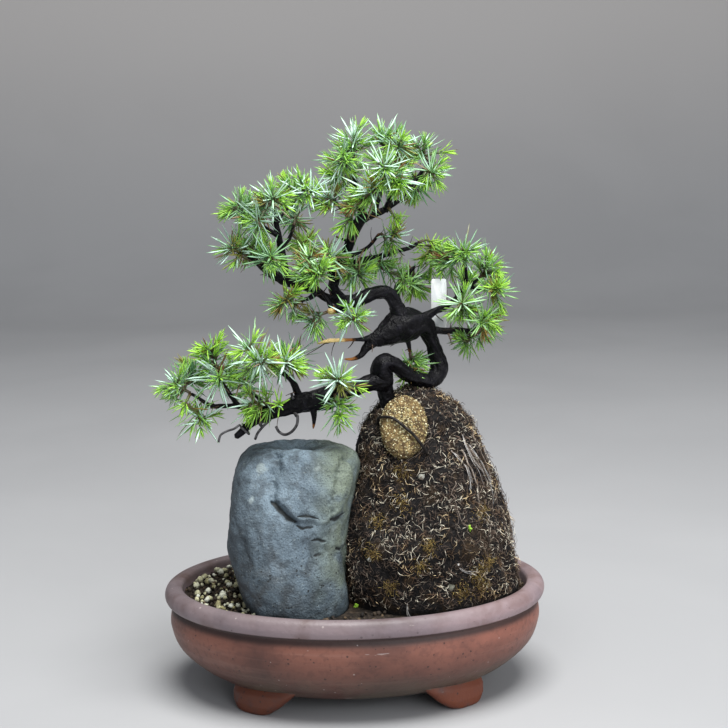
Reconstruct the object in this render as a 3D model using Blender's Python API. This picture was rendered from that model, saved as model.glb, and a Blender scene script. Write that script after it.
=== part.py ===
"""Root over rock bonsai: a needle juniper whose root mat clasps a river stone, in an oval clay pot.

Units are metres and +Z is up. The origin lies on the table, under the middle of the pot.
The pot's long side runs along X and the front of the tree faces -Y.
"""

import math

import bpy
import numpy as np
from mathutils import Vector, noise

# Driving sizes of the pot
POT_LENGTH = 0.210
POT_DEPTH = 0.150
POT_SIDES = 36
DEPTH_SHARE = 0.8
POT_OUTSIDE = (
    (0.0380, 0.0080), (0.0280, 0.0105), (0.0170, 0.0170), (0.0070, 0.0270),
    (0.0030, 0.0380), (0.0035, 0.0470), (0.0045, 0.0490),
)
POT_RIM = (
    (0.0008, 0.0505), (0.0000, 0.0550), (0.0024, 0.0590), (0.0055, 0.0600), (0.0095, 0.0585),
)
POT_INSIDE = ((0.0105, 0.0500), (0.0115, 0.0380), (0.0190, 0.0230), (0.0350, 0.0155))
FOOT_CENTRE = (0.0555, 0.0385)
FOOT_SIDES = 12
FOOT_LEVELS = (
    (0.0000, 0.0000, -0.0105, 0.0095, 0.0052, 0.0000),
    (0.0050, 0.0000, -0.0135, 0.0165, 0.0062, -0.0004),
    (0.0090, 0.0035, -0.0148, 0.0245, 0.0062, -0.0016),
    (0.0130, 0.0045, -0.0148, 0.0300, 0.0052, -0.0036),
)
DRAIN_OFFSET = 0.040
DRAIN_RADIUS = 0.007
MESH_RADIUS = 0.011
MESH_THICKNESS = 0.001

# Gap kept between pieces that touch
SEAT_GAP = 0.0003

# Soil and gravel
SOIL_EDGE = 0.0535
SOIL_CROWN = 0.0575
SOIL_INSET = 0.0102
GRAVEL_THICKNESS = 0.0022
GRAVEL_ARC = (124.0, 232.0)
GRAVEL_SHARES = (0.66, 0.80, 0.95)
GRAVEL_STEPS = 15
PEBBLE_COUNT = 26
PEBBLE_RADII = (0.0017, 0.0028)

# Stone and root mat, as levels: height, left, right, front and back
STONE_SIDES = 28
STONE_POWER = 2.7
STONE_LEVELS = (
    (0.0460, -0.0540, -0.0080, -0.0500, 0.0100),
    (0.0560, -0.0600, -0.0050, -0.0555, 0.0160),
    (0.0700, -0.0655, -0.0045, -0.0570, 0.0200),
    (0.0900, -0.0680, -0.0045, -0.0570, 0.0220),
    (0.1050, -0.0680, -0.0025, -0.0555, 0.0210),
    (0.1180, -0.0665, 0.0008, -0.0520, 0.0180),
    (0.1280, -0.0640, 0.0022, -0.0470, 0.0140),
    (0.1350, -0.0600, 0.0002, -0.0420, 0.0100),
    (0.1390, -0.0530, -0.0060, -0.0370, 0.0060),
    (0.1400, -0.0460, -0.0120, -0.0310, 0.0010),
    (0.1375, -0.0390, -0.0190, -0.0240, -0.0050),
    (0.1350, -0.0330, -0.0250, -0.0180, -0.0110),
)
STONE_VALLEY = (-0.0450, 0.0055, 0.0024)
STONE_TILT = 0.06
MAT_SIDES = 26
MAT_TO_WALL = 0.0012
MAT_POWER = 2.15
MAT_LEVELS = (
    (0.0460, -0.0120, 0.0890, -0.0510, 0.0400),
    (0.0580, -0.0120, 0.0900, -0.0545, 0.0420),
    (0.0730, -0.0120, 0.0868, -0.0540, 0.0410),
    (0.0900, -0.0100, 0.0838, -0.0505, 0.0390),
    (0.1050, -0.0080, 0.0800, -0.0465, 0.0360),
    (0.1200, -0.0040, 0.0755, -0.0415, 0.0330),
    (0.1360, 0.0020, 0.0695, -0.0350, 0.0290),
    (0.1460, 0.0058, 0.0640, -0.0305, 0.0250),
    (0.1540, 0.0112, 0.0575, -0.0260, 0.0210),
    (0.1610, 0.0180, 0.0505, -0.0210, 0.0170),
    (0.1650, 0.0240, 0.0455, -0.0160, 0.0120),
    (0.1665, 0.0290, 0.0400, -0.0100, 0.0070),
)
SURFACE_ROOTS = 7
SURFACE_ROOT_RADIUS = 0.0010
SURFACE_ROOT_STEPS = 6

# Fertilizer cake, its pin and the blank label
CAKE_CENTRE = (0.0260, -0.0285, 0.1500)
CAKE_HALF_WIDTH = 0.0125
CAKE_HALF_HEIGHT = 0.0170
CAKE_SINK = 0.004
CAKE_TILT = math.radians(27.0)
CAKE_TURN = math.radians(6.0)
CAKE_LEVELS = ((0.90, 0.0000), (1.00, 0.0020), (1.00, 0.0060), (0.86, 0.0088), (0.50, 0.0100))
PIN_RADIUS = 0.0008
PIN_ROUTE = (
    (-0.0138, 0.0040, -0.0080), (-0.0138, 0.0040, 0.0020), (-0.0124, 0.0040, 0.0090),
    (-0.0060, 0.0030, 0.0116), (0.0000, -0.0015, 0.0120), (0.0060, -0.0070, 0.0116),
    (0.0108, -0.0128, 0.0082), (0.0128, -0.0152, 0.0020), (0.0128, -0.0152, -0.0080),
)
LABEL_SIZE = (0.0085, 0.0008, 0.0290)
LABEL_CENTRE = (0.0484, 0.0068, 0.2098)

LIMB_PITCH = 0.0082
STEM_BASE_POINTS = 20

# Wood: each limb is a route of points with the radius there
LIMBS = {
    "stem": (
        (0.0205, -0.0110, 0.1500, 0.0058), (0.0195, -0.0120, 0.1560, 0.0050),
        (0.0186, -0.0122, 0.1620, 0.0042), (0.0170, -0.0130, 0.1683, 0.0046),
        (0.0160, -0.0140, 0.1750, 0.0060), (0.0155, -0.0150, 0.1800, 0.0058),
        (0.0180, -0.0150, 0.1828, 0.0050), (0.0222, -0.0140, 0.1812, 0.0044),
        (0.0275, -0.0120, 0.1768, 0.0040), (0.0343, -0.0080, 0.1722, 0.0037),
        (0.0411, -0.0040, 0.1703, 0.0037), (0.0458, 0.0000, 0.1722, 0.0041),
        (0.0477, 0.0020, 0.1775, 0.0044), (0.0461, 0.0020, 0.1849, 0.0042),
        (0.0432, 0.0000, 0.1929, 0.0042), (0.0395, -0.0020, 0.2000, 0.0060),
        (0.0335, -0.0040, 0.2015, 0.0078), (0.0266, -0.0060, 0.2006, 0.0092),
        (0.0200, -0.0090, 0.1974, 0.0070), (0.0133, -0.0120, 0.1950, 0.0042),
        (0.0090, -0.0140, 0.1944, 0.0026),
    ),
    "dead_spike_upper": (
        (0.0110, -0.0130, 0.1952, 0.0020), (0.0047, -0.0150, 0.1951, 0.0010),
        (-0.0017, -0.0160, 0.1951, 0.0008), (-0.0081, -0.0170, 0.1952, 0.0010),
        (-0.0134, -0.0180, 0.1951, 0.0010), (-0.0187, -0.0180, 0.1936, 0.0004),
    ),
    "dead_spike_lower": (
        (0.0106, -0.0130, 0.1938, 0.0026), (0.0073, -0.0150, 0.1905, 0.0020),
        (0.0045, -0.0170, 0.1871, 0.0015), (0.0002, -0.0180, 0.1852, 0.0010),
        (-0.0046, -0.0190, 0.1854, 0.0004),
    ),
    "arm": (
        (0.0283, -0.0060, 0.2027, 0.0050), (0.0251, -0.0060, 0.2087, 0.0038),
        (0.0219, -0.0070, 0.2154, 0.0036), (0.0187, -0.0080, 0.2190, 0.0037),
        (0.0127, -0.0100, 0.2191, 0.0035), (0.0046, -0.0130, 0.2164, 0.0034),
        (-0.0035, -0.0150, 0.2136, 0.0029), (-0.0099, -0.0160, 0.2112, 0.0020),
        (-0.0130, -0.0170, 0.2103, 0.0012),
    ),
    "upper_stem": (
        (-0.0002, -0.0130, 0.2149, 0.0030), (-0.0053, -0.0080, 0.2155, 0.0030),
        (-0.0083, -0.0020, 0.2192, 0.0029), (-0.0086, 0.0020, 0.2242, 0.0027),
        (-0.0069, 0.0040, 0.2304, 0.0026), (-0.0030, 0.0040, 0.2373, 0.0026),
        (0.0003, 0.0020, 0.2449, 0.0026), (0.0036, 0.0000, 0.2530, 0.0027),
        (0.0068, -0.0010, 0.2578, 0.0026), (0.0131, -0.0030, 0.2604, 0.0021),
        (0.0200, -0.0040, 0.2630, 0.0016),
    ),
    "crown_left": (
        (0.0070, -0.0010, 0.2580, 0.0020), (0.0060, -0.0030, 0.2660, 0.0016),
        (0.0040, -0.0050, 0.2750, 0.0014), (0.0025, -0.0045, 0.2840, 0.0011),
        (0.0030, -0.0020, 0.2910, 0.0009),
    ),
    "crown_front": (
        (0.0200, -0.0040, 0.2630, 0.0014), (0.0215, -0.0090, 0.2700, 0.0012),
        (0.0200, -0.0130, 0.2760, 0.0010),
    ),
    "crown_top": (
        (0.0200, -0.0040, 0.2630, 0.0015), (0.0230, -0.0020, 0.2740, 0.0013),
        (0.0230, 0.0020, 0.2830, 0.0011), (0.0205, 0.0030, 0.2920, 0.0009),
    ),
    "crown_right": (
        (0.0190, -0.0040, 0.2625, 0.0015), (0.0270, -0.0030, 0.2680, 0.0013),
        (0.0330, -0.0020, 0.2750, 0.0012), (0.0390, 0.0000, 0.2820, 0.0010),
        (0.0440, 0.0010, 0.2870, 0.0008),
    ),
    "crown_back": (
        (0.0130, -0.0030, 0.2604, 0.0016), (0.0160, 0.0070, 0.2670, 0.0013),
        (0.0190, 0.0150, 0.2750, 0.0011), (0.0220, 0.0200, 0.2810, 0.0009),
    ),
    "crown_back_left": (
        (0.0060, -0.0030, 0.2660, 0.0013), (0.0035, 0.0080, 0.2720, 0.0011),
        (0.0020, 0.0170, 0.2790, 0.0009),
    ),
    "crown_low_left": (
        (0.0036, 0.0000, 0.2530, 0.0015), (-0.0010, -0.0020, 0.2600, 0.0012),
        (-0.0045, -0.0040, 0.2640, 0.0009),
    ),
    "middle_right": (
        (-0.0050, 0.0040, 0.2336, 0.0020), (0.0013, 0.0050, 0.2339, 0.0017),
        (0.0074, 0.0070, 0.2353, 0.0016), (0.0151, 0.0090, 0.2366, 0.0015),
        (0.0245, 0.0120, 0.2389, 0.0013), (0.0329, 0.0140, 0.2407, 0.0011),
        (0.0380, 0.0150, 0.2435, 0.0009),
    ),
    "dead_twig": (
        (-0.0030, 0.0040, 0.2373, 0.0016), (0.0019, 0.0045, 0.2385, 0.0013),
        (0.0074, 0.0060, 0.2405, 0.0011), (0.0119, 0.0080, 0.2437, 0.0010),
        (0.0169, 0.0090, 0.2495, 0.0008),
    ),
    "thin_stub": (
        (-0.0086, 0.0020, 0.2225, 0.0015), (-0.0113, 0.0000, 0.2298, 0.0011),
        (-0.0122, -0.0020, 0.2375, 0.0009), (-0.0130, -0.0030, 0.2430, 0.0006),
    ),
    "left_limb": (
        (-0.0055, -0.0080, 0.2155, 0.0028), (-0.0127, -0.0060, 0.2165, 0.0024),
        (-0.0180, -0.0060, 0.2203, 0.0025), (-0.0248, -0.0070, 0.2243, 0.0031),
        (-0.0316, -0.0080, 0.2261, 0.0034), (-0.0379, -0.0090, 0.2285, 0.0028),
        (-0.0441, -0.0100, 0.2324, 0.0021), (-0.0492, -0.0110, 0.2368, 0.0015),
        (-0.0540, -0.0120, 0.2400, 0.0010),
    ),
    "left_riser": (
        (-0.0345, -0.0080, 0.2270, 0.0026), (-0.0351, -0.0070, 0.2346, 0.0019),
        (-0.0365, -0.0070, 0.2426, 0.0018), (-0.0374, -0.0080, 0.2500, 0.0016),
        (-0.0388, -0.0090, 0.2575, 0.0013), (-0.0396, -0.0100, 0.2630, 0.0009),
    ),
    "riser_left": (
        (-0.0374, -0.0080, 0.2500, 0.0012), (-0.0450, -0.0110, 0.2550, 0.0010),
        (-0.0510, -0.0130, 0.2600, 0.0008),
    ),
    "riser_right": (
        (-0.0388, -0.0090, 0.2570, 0.0012), (-0.0330, -0.0060, 0.2640, 0.0010),
        (-0.0260, -0.0035, 0.2680, 0.0008),
    ),
    "riser_back": (
        (-0.0365, -0.0070, 0.2430, 0.0013), (-0.0320, 0.0050, 0.2480, 0.0010),
        (-0.0295, 0.0150, 0.2540, 0.0008),
    ),
    "left_back": (
        (-0.0250, -0.0070, 0.2240, 0.0016), (-0.0250, 0.0060, 0.2290, 0.0013),
        (-0.0240, 0.0160, 0.2335, 0.0010), (-0.0225, 0.0220, 0.2360, 0.0008),
    ),
    "left_under": (
        (-0.0180, -0.0060, 0.2200, 0.0015), (-0.0220, -0.0100, 0.2170, 0.0012),
        (-0.0275, -0.0135, 0.2160, 0.0009),
    ),
    "arm_twig": (
        (-0.0100, -0.0160, 0.2116, 0.0012), (-0.0140, -0.0155, 0.2185, 0.0009),
        (-0.0180, -0.0165, 0.2225, 0.0007),
    ),
    "right_limb": (
        (0.0395, -0.0020, 0.2040, 0.0024), (0.0456, 0.0010, 0.2075, 0.0018),
        (0.0514, 0.0040, 0.2092, 0.0016), (0.0570, 0.0060, 0.2126, 0.0014),
        (0.0628, 0.0080, 0.2178, 0.0012), (0.0667, 0.0085, 0.2209, 0.0010),
        (0.0705, 0.0080, 0.2240, 0.0008),
    ),
    "right_rise": (
        (0.0620, 0.0080, 0.2170, 0.0011), (0.0635, 0.0078, 0.2243, 0.0009),
        (0.0630, 0.0070, 0.2310, 0.0007),
    ),
    "right_low_limb": (
        (0.0420, 0.0000, 0.1973, 0.0022), (0.0511, 0.0020, 0.1963, 0.0018),
        (0.0577, 0.0030, 0.1966, 0.0016), (0.0643, 0.0030, 0.1962, 0.0012),
        (0.0690, 0.0025, 0.1975, 0.0008),
    ),
    "right_out": (
        (0.0560, 0.0056, 0.2120, 0.0012), (0.0630, 0.0040, 0.2090, 0.0010),
        (0.0700, 0.0010, 0.2062, 0.0008),
    ),
    "right_middle": (
        (0.0650, 0.0083, 0.2193, 0.0011), (0.0695, 0.0040, 0.2190, 0.0009),
        (0.0725, 0.0005, 0.2185, 0.0007),
    ),
    "right_back": (
        (0.0575, 0.0062, 0.2130, 0.0012), (0.0595, 0.0140, 0.2145, 0.0010),
        (0.0625, 0.0210, 0.2165, 0.0008),
    ),
    "back_limb": (
        (0.0248, -0.0040, 0.2100, 0.0030), (0.0249, 0.0060, 0.2149, 0.0022),
        (0.0266, 0.0140, 0.2201, 0.0017), (0.0315, 0.0200, 0.2249, 0.0013),
        (0.0369, 0.0240, 0.2299, 0.0010),
    ),
    "low_limb": (
        (0.0177, -0.0140, 0.1715, 0.0052), (0.0106, -0.0170, 0.1722, 0.0046),
        (0.0030, -0.0200, 0.1708, 0.0042), (-0.0050, -0.0220, 0.1683, 0.0048),
        (-0.0130, -0.0230, 0.1660, 0.0058), (-0.0214, -0.0230, 0.1643, 0.0050),
        (-0.0288, -0.0230, 0.1628, 0.0045), (-0.0362, -0.0230, 0.1605, 0.0038),
        (-0.0447, -0.0240, 0.1578, 0.0033), (-0.0521, -0.0250, 0.1545, 0.0025),
        (-0.0579, -0.0260, 0.1500, 0.0019), (-0.0627, -0.0270, 0.1461, 0.0015),
    ),
    "low_spike": (
        (-0.0214, -0.0240, 0.1630, 0.0020), (-0.0210, -0.0250, 0.1560, 0.0012),
        (-0.0216, -0.0250, 0.1495, 0.0005),
    ),
    "low_twig": (
        (-0.0370, -0.0230, 0.1607, 0.0024), (-0.0458, -0.0200, 0.1600, 0.0019),
        (-0.0543, -0.0180, 0.1595, 0.0017), (-0.0617, -0.0170, 0.1612, 0.0015),
        (-0.0691, -0.0160, 0.1612, 0.0013), (-0.0755, -0.0160, 0.1615, 0.0012),
        (-0.0810, -0.0155, 0.1650, 0.0010), (-0.0860, -0.0160, 0.1685, 0.0008),
    ),
    "low_twig_rise": (
        (-0.0610, -0.0170, 0.1610, 0.0013), (-0.0655, -0.0160, 0.1680, 0.0010),
        (-0.0690, -0.0150, 0.1740, 0.0008), (-0.0710, -0.0145, 0.1800, 0.0007),
    ),
    "low_back": (
        (-0.0450, -0.0240, 0.1578, 0.0016), (-0.0490, -0.0100, 0.1620, 0.0012),
        (-0.0540, 0.0010, 0.1650, 0.0009),
    ),
    "low_riser": (
        (-0.0277, -0.0220, 0.1640, 0.0022), (-0.0302, -0.0220, 0.1710, 0.0017),
        (-0.0337, -0.0240, 0.1768, 0.0014), (-0.0399, -0.0260, 0.1815, 0.0011),
        (-0.0450, -0.0280, 0.1836, 0.0008),
    ),
    "front_shoot": (
        (-0.0110, -0.0240, 0.1665, 0.0018), (-0.0102, -0.0310, 0.1710, 0.0013),
        (-0.0094, -0.0350, 0.1740, 0.0010),
    ),
    "loop_twig": (
        (0.0301, -0.0030, 0.1950, 0.0016), (0.0312, -0.0015, 0.1890, 0.0011),
        (0.0318, 0.0000, 0.1850, 0.0008),
    ),
    "broken_twig": (
        (0.0012, 0.0030, 0.2450, 0.0010), (-0.0050, 0.0010, 0.2478, 0.0006),
        (-0.0080, 0.0000, 0.2490, 0.0005),
    ),
}

WIRE_STEPS = 12
WIRE_SEAT = 0.0008
WIRE_PITCH = 0.0022

# Training wire: limb, place along it from 0 to 1, wire radius and the tail's own points
WIRES = {
    "training_wire_hook": ("low_limb", 0.60, 0.00075, (
        (-0.0297, -0.0300, 0.1577), (-0.0301, -0.0295, 0.1530), (-0.0328, -0.0285, 0.1491),
        (-0.0365, -0.0275, 0.1473), (-0.0396, -0.0265, 0.1488), (-0.0411, -0.0255, 0.1515),
    )),
    "training_wire_tail": ("low_limb", 0.93, 0.00060, (
        (-0.0600, -0.0300, 0.1535), (-0.0626, -0.0310, 0.1519), (-0.0667, -0.0310, 0.1506),
        (-0.0699, -0.0310, 0.1486), (-0.0711, -0.0310, 0.1449),
    )),
    "training_wire_coil": ("low_limb", 0.83, 0.00070, (
        (-0.0440, -0.0300, 0.1560), (-0.0475, -0.0315, 0.1530), (-0.0505, -0.0320, 0.1495),
        (-0.0520, -0.0310, 0.1460),
    )),
}

# Shoots: each spray lists its rosettes, open ones with long needles and tufts of new growth
OPEN = "open"
TUFT = "tuft"
SPRAYS = {
    "spray_crown_face": ((OPEN, 0.017, -0.027, 0.287), (OPEN, 0.027, -0.022, 0.278)),
    "spray_crown_low": ((OPEN, 0.009, -0.024, 0.273), (OPEN, -0.001, -0.013, 0.257)),
    "spray_crown_tip": ((OPEN, 0.018, 0.000, 0.301), (OPEN, 0.027, -0.010, 0.295)),
    "spray_crown_tip_left": ((OPEN, 0.003, -0.004, 0.299), (OPEN, -0.005, -0.009, 0.287)),
    "spray_crown_tip_right": ((OPEN, 0.037, 0.006, 0.296), (TUFT, 0.053, 0.002, 0.292)),
    "spray_crown_right": ((OPEN, 0.044, -0.011, 0.282),),
    "spray_crown_right_low": ((OPEN, 0.038, 0.007, 0.273),),
    "spray_crown_back_left": ((OPEN, 0.002, 0.029, 0.289), (OPEN, -0.006, 0.015, 0.279)),
    "spray_crown_back_right": ((OPEN, 0.027, 0.028, 0.289), (OPEN, 0.018, 0.027, 0.272)),
    "spray_crown_left_low": ((OPEN, -0.010, -0.008, 0.269),),
    "spray_crown_inner": ((TUFT, 0.024, -0.013, 0.258),),
    "spray_upper_left_front": ((OPEN, -0.040, -0.020, 0.271), (OPEN, -0.049, -0.024, 0.256)),
    "spray_upper_left_outer": ((OPEN, -0.059, -0.016, 0.267),),
    "spray_upper_left_right": ((OPEN, -0.029, 0.002, 0.273), (OPEN, -0.018, -0.008, 0.273)),
    "spray_upper_left_back": ((OPEN, -0.029, 0.026, 0.262),),
    "spray_upper_left_inner": ((OPEN, -0.049, 0.004, 0.262),),
    "spray_middle_left_outer": ((OPEN, -0.059, -0.015, 0.243), (OPEN, -0.050, 0.003, 0.244)),
    "spray_middle_left_front": ((OPEN, -0.041, -0.024, 0.241),),
    "spray_middle_left_back": ((TUFT, -0.027, 0.010, 0.246), (OPEN, -0.022, 0.034, 0.239)),
    "spray_middle_front": ((OPEN, -0.022, -0.022, 0.241), (OPEN, -0.016, -0.026, 0.231)),
    "spray_middle_inner": ((OPEN, -0.010, -0.014, 0.238),),
    "spray_middle_left_under": ((OPEN, -0.037, -0.022, 0.217), (TUFT, -0.028, -0.026, 0.223)),
    "spray_arm_under": ((OPEN, -0.022, -0.021, 0.206),),
    "spray_centre_left": ((OPEN, 0.005, -0.004, 0.229),),
    "spray_centre_back": ((OPEN, 0.016, 0.018, 0.228), (OPEN, 0.034, 0.012, 0.221)),
    "spray_centre_right": ((TUFT, 0.044, 0.018, 0.243), (OPEN, 0.047, 0.030, 0.231)),
    "spray_centre_far_back": ((OPEN, 0.038, 0.034, 0.217),),
    "spray_centre_top": ((OPEN, 0.026, 0.004, 0.248),),
    "spray_arm_front": ((OPEN, 0.001, -0.024, 0.206),),
    "spray_right_rise": ((OPEN, 0.062, 0.004, 0.240), (OPEN, 0.053, 0.012, 0.232)),
    "spray_right_tip": ((OPEN, 0.075, 0.010, 0.232), (TUFT, 0.079, -0.003, 0.228)),
    "spray_right_middle": ((OPEN, 0.078, -0.005, 0.218),),
    "spray_right_back": ((OPEN, 0.069, 0.030, 0.221),),
    "spray_right_out": ((TUFT, 0.080, -0.002, 0.206), (OPEN, 0.069, -0.013, 0.202)),
    "spray_right_front": ((OPEN, 0.059, -0.011, 0.213),),
    "spray_right_low": ((OPEN, 0.077, 0.007, 0.196), (OPEN, 0.062, 0.004, 0.188)),
    "spray_low_riser_front": ((OPEN, -0.055, -0.032, 0.195), (OPEN, -0.047, -0.040, 0.187)),
    "spray_low_riser_inner": ((OPEN, -0.036, -0.032, 0.186), (OPEN, -0.029, -0.012, 0.187)),
    "spray_front": ((OPEN, -0.009, -0.043, 0.179), (TUFT, 0.003, -0.034, 0.172)),
    "spray_low_under": ((OPEN, -0.008, -0.037, 0.158),),
    "spray_low_front": ((TUFT, -0.039, -0.037, 0.166), (OPEN, -0.055, -0.031, 0.165)),
    "spray_low_back": ((OPEN, -0.059, 0.014, 0.169), (OPEN, -0.067, 0.000, 0.177)),
    "spray_low_left_rise": ((OPEN, -0.075, -0.014, 0.191), (OPEN, -0.070, -0.027, 0.175)),
    "spray_low_tip": ((OPEN, -0.093, -0.018, 0.174), (OPEN, -0.084, -0.005, 0.178)),
    "spray_low_tip_under": ((TUFT, -0.089, -0.024, 0.163), (OPEN, -0.078, -0.018, 0.152)),
    "spray_loop": ((OPEN, 0.032, 0.000, 0.180),),
}
SHOOT_RADIUS = 0.0011
SHOOT_SEAT = 0.0006
SHOOT_PITCH = 0.0030
SHOOT_LIFT = 0.0008
SHOOT_TIP_RADIUS = 0.0008
NEEDLE_LENGTH = 0.0150
NEEDLE_BAND = 0.0012
NEEDLE_RADIUS = 0.00090
NEEDLE_TIP_RADIUS = 0.00010
NEEDLE_CLEARANCE = 0.00040
BUD_LENGTH = 0.0012
OPEN_WHORLS = ((0.0010, 24.0, 0.92), (0.0030, 46.0, 1.00), (0.0051, 66.0, 1.02), (0.0074, 84.0, 0.98))
TUFT_WHORLS = ((0.0010, 18.0, 0.60), (0.0031, 34.0, 0.56))
STEM_WHORL_PITCH = 0.0042
BARE_FOOT = 0.0021
SHORTEST_SHOOT = 0.0098
NEEDLE_TRIES = 60
LIMIT_X = 0.1045
LIMIT_Y = 0.0740
LIMIT_Z = 0.3120
FOLIAGE_MARGIN = 0.0040
MAT_CLEAR = 0.1695
STONE_CLEAR = 0.1455

# Colours
CLAY = (0.235, 0.100, 0.070)
SOIL = (0.030, 0.022, 0.016)
PUMICE = (0.640, 0.580, 0.420)
STONE = (0.125, 0.150, 0.165)
ROOT_MAT = (0.070, 0.045, 0.028)
BARK = (0.018, 0.013, 0.012)
CAKE = (0.360, 0.230, 0.085)
WIRE_DARK = (0.020, 0.018, 0.016)
WIRE_GREY = (0.160, 0.140, 0.125)
LABEL_WHITE = (0.800, 0.810, 0.820)
MESH_BLACK = (0.020, 0.020, 0.020)
NEEDLE_OLD = (0.110, 0.235, 0.085)
NEEDLE_NEW = (0.260, 0.500, 0.060)


def clear_scene():
    """Remove every object, so that the file holds only this plant."""
    for item in list(bpy.data.objects):
        bpy.data.objects.remove(item, do_unlink=True)


def finish(name, colour, roughness, metallic=0.0):
    """One Principled material."""
    material = bpy.data.materials.new(name)
    material.use_nodes = True
    shader = material.node_tree.nodes["Principled BSDF"]
    shader.inputs["Base Color"].default_value = (*colour, 1.0)
    shader.inputs["Roughness"].default_value = roughness
    shader.inputs["Metallic"].default_value = metallic
    return material


def mesh_of(name, solid):
    """Blender mesh of a solid given as vertices and faces."""
    vertices, faces = solid
    mesh = bpy.data.meshes.new(name)
    mesh.from_pydata([tuple(map(float, vertex)) for vertex in vertices], [], faces)
    mesh.validate()
    return mesh


def add_object(name, solid, material, smooth_angle=40.0):
    """Object made of one solid, with its material and soft shading."""
    item = bpy.data.objects.new(name, mesh_of(name, solid))
    bpy.context.scene.collection.objects.link(item)
    dress(item, material, smooth_angle)
    return item


def dress(item, material, smooth_angle=40.0):
    """Give an object its material and smooth shading up to an angle."""
    item.data.materials.clear()
    item.data.materials.append(material)
    item.data.shade_smooth()
    item.data.set_sharp_from_angle(angle=math.radians(smooth_angle))


def combine(item, solids, operation, solver="EXACT"):
    """Add solids to an object, or cut them from it, with one Boolean on a collection."""
    group = bpy.data.collections.new("operands")
    bpy.context.scene.collection.children.link(group)
    for index, solid in enumerate(solids):
        name = f"operand_{index}"
        group.objects.link(bpy.data.objects.new(name, mesh_of(name, solid)))
    boolean = item.modifiers.new("combine", "BOOLEAN")
    boolean.operation = operation
    boolean.operand_type = "COLLECTION"
    boolean.solver = solver
    boolean.collection = group
    view = bpy.context.evaluated_depsgraph_get()
    old_mesh = item.data
    item.data = bpy.data.meshes.new_from_object(item.evaluated_get(view))
    item.modifiers.clear()
    bpy.data.meshes.remove(old_mesh)
    for operand in list(group.objects):
        bpy.data.objects.remove(operand, do_unlink=True)
    bpy.data.collections.remove(group)


def lofted(rings, split=True):
    """Closed solid through rings of equal length, its sides split into triangles unless told not to."""
    sides = len(rings[0])
    vertices = np.concatenate(rings)
    faces = [tuple(reversed(range(sides)))]
    for level in range(len(rings) - 1):
        for side in range(sides):
            here = level * sides + side
            after = level * sides + (side + 1) % sides
            if split:
                faces += [(here, after, here + sides), (after, after + sides, here + sides)]
            else:
                faces.append((here, after, after + sides, here + sides))
    last = (len(rings) - 1) * sides
    faces.append(tuple(range(last, last + sides)))
    return vertices, faces


def smooth_route(points, pitch):
    """Resample a route with a Catmull-Rom curve, a point about every pitch."""
    points = np.array(points, dtype=float)
    padded = np.vstack((2 * points[0] - points[1], points, 2 * points[-1] - points[-2]))
    route = []
    for index in range(len(points) - 1):
        before, start, end, after = padded[index:index + 4]
        steps = max(1, round(float(np.linalg.norm((end - start)[:3])) / pitch))
        share = (np.arange(steps) / steps)[:, None]
        route.append(0.5 * (
            2 * start + (end - before) * share
            + (2 * before - 5 * start + 4 * end - after) * share ** 2
            + (3 * start - before - 3 * end + after) * share ** 3))
    route.append(points[-1:])
    return np.vstack(route)


def tube(points, radii, sides):
    """Round tube along points, with its frame carried on without twist."""
    points = np.asarray(points, dtype=float)
    tangents = np.gradient(points, axis=0)
    tangents /= np.linalg.norm(tangents, axis=1)[:, None]
    helper = np.array((0.0, 0.0, 1.0)) if abs(tangents[0, 2]) < 0.8 else np.array((1.0, 0.0, 0.0))
    across = np.cross(helper, tangents[0])
    turn = np.arange(sides) / sides * math.tau
    rings = []
    for point, tangent, radius in zip(points, tangents, np.broadcast_to(radii, len(points))):
        across = across - tangent * np.dot(across, tangent)
        across /= np.linalg.norm(across)
        second = np.cross(tangent, across)
        rings.append(point + radius * (np.outer(np.cos(turn), across) + np.outer(np.sin(turn), second)))
    return lofted(rings)


def pot_half_axes(inset):
    """Half length and half depth of the pot's oval, pulled in from its outermost edge."""
    return np.array((POT_LENGTH / 2 - inset, POT_DEPTH / 2 - DEPTH_SHARE * inset))


def pot_ring(inset, height, grow=0.0):
    """Oval ring of the pot at a height."""
    turn = np.arange(POT_SIDES) / POT_SIDES * math.tau
    oval = np.stack((np.cos(turn), np.sin(turn)), axis=1) * (pot_half_axes(inset) + grow)
    return np.column_stack((oval, np.full(POT_SIDES, height)))


def foot_solid(side_x, side_y):
    """Bracket foot under one corner of the oval: steep at its outer end, swept at the inner one."""
    centre = np.array((side_x * FOOT_CENTRE[0], side_y * FOOT_CENTRE[1]))
    outward = np.array((centre[0] / POT_LENGTH ** 2, centre[1] / POT_DEPTH ** 2))
    outward /= np.linalg.norm(outward)
    along = np.array((-side_x * abs(outward[1]), side_y * abs(outward[0])))
    turn = np.arange(FOOT_SIDES) / FOOT_SIDES * math.tau
    rounded = np.stack((np.cos(turn), np.sin(turn)), axis=1)
    rounded = np.sign(rounded) * np.abs(rounded) ** 0.75
    if side_x * side_y < 0:
        rounded = rounded[::-1]
    rings = []
    for height, rise, start, end, half_width, shift in FOOT_LEVELS:
        place = centre + along * (start + end) / 2 + outward * shift
        flat = place + np.outer(rounded[:, 0] * (end - start) / 2, along)
        flat = flat + np.outer(rounded[:, 1] * half_width, outward)
        rings.append(np.column_stack((flat, height + rise * (1.0 + rounded[:, 0]) / 2)))
    solid = lofted(rings)
    return facing_out(solid)


def facing_out(solid):
    """Turn a solid's faces over if they enclose a negative volume."""
    vertices, faces = solid
    volume = 0.0
    for face in faces:
        for index in range(1, len(face) - 1):
            first, second, third = vertices[face[0]], vertices[face[index]], vertices[face[index + 1]]
            volume += float(np.dot(first, np.cross(second, third)))
    if volume < 0:
        faces = [tuple(reversed(face)) for face in faces]
    return vertices, faces


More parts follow.
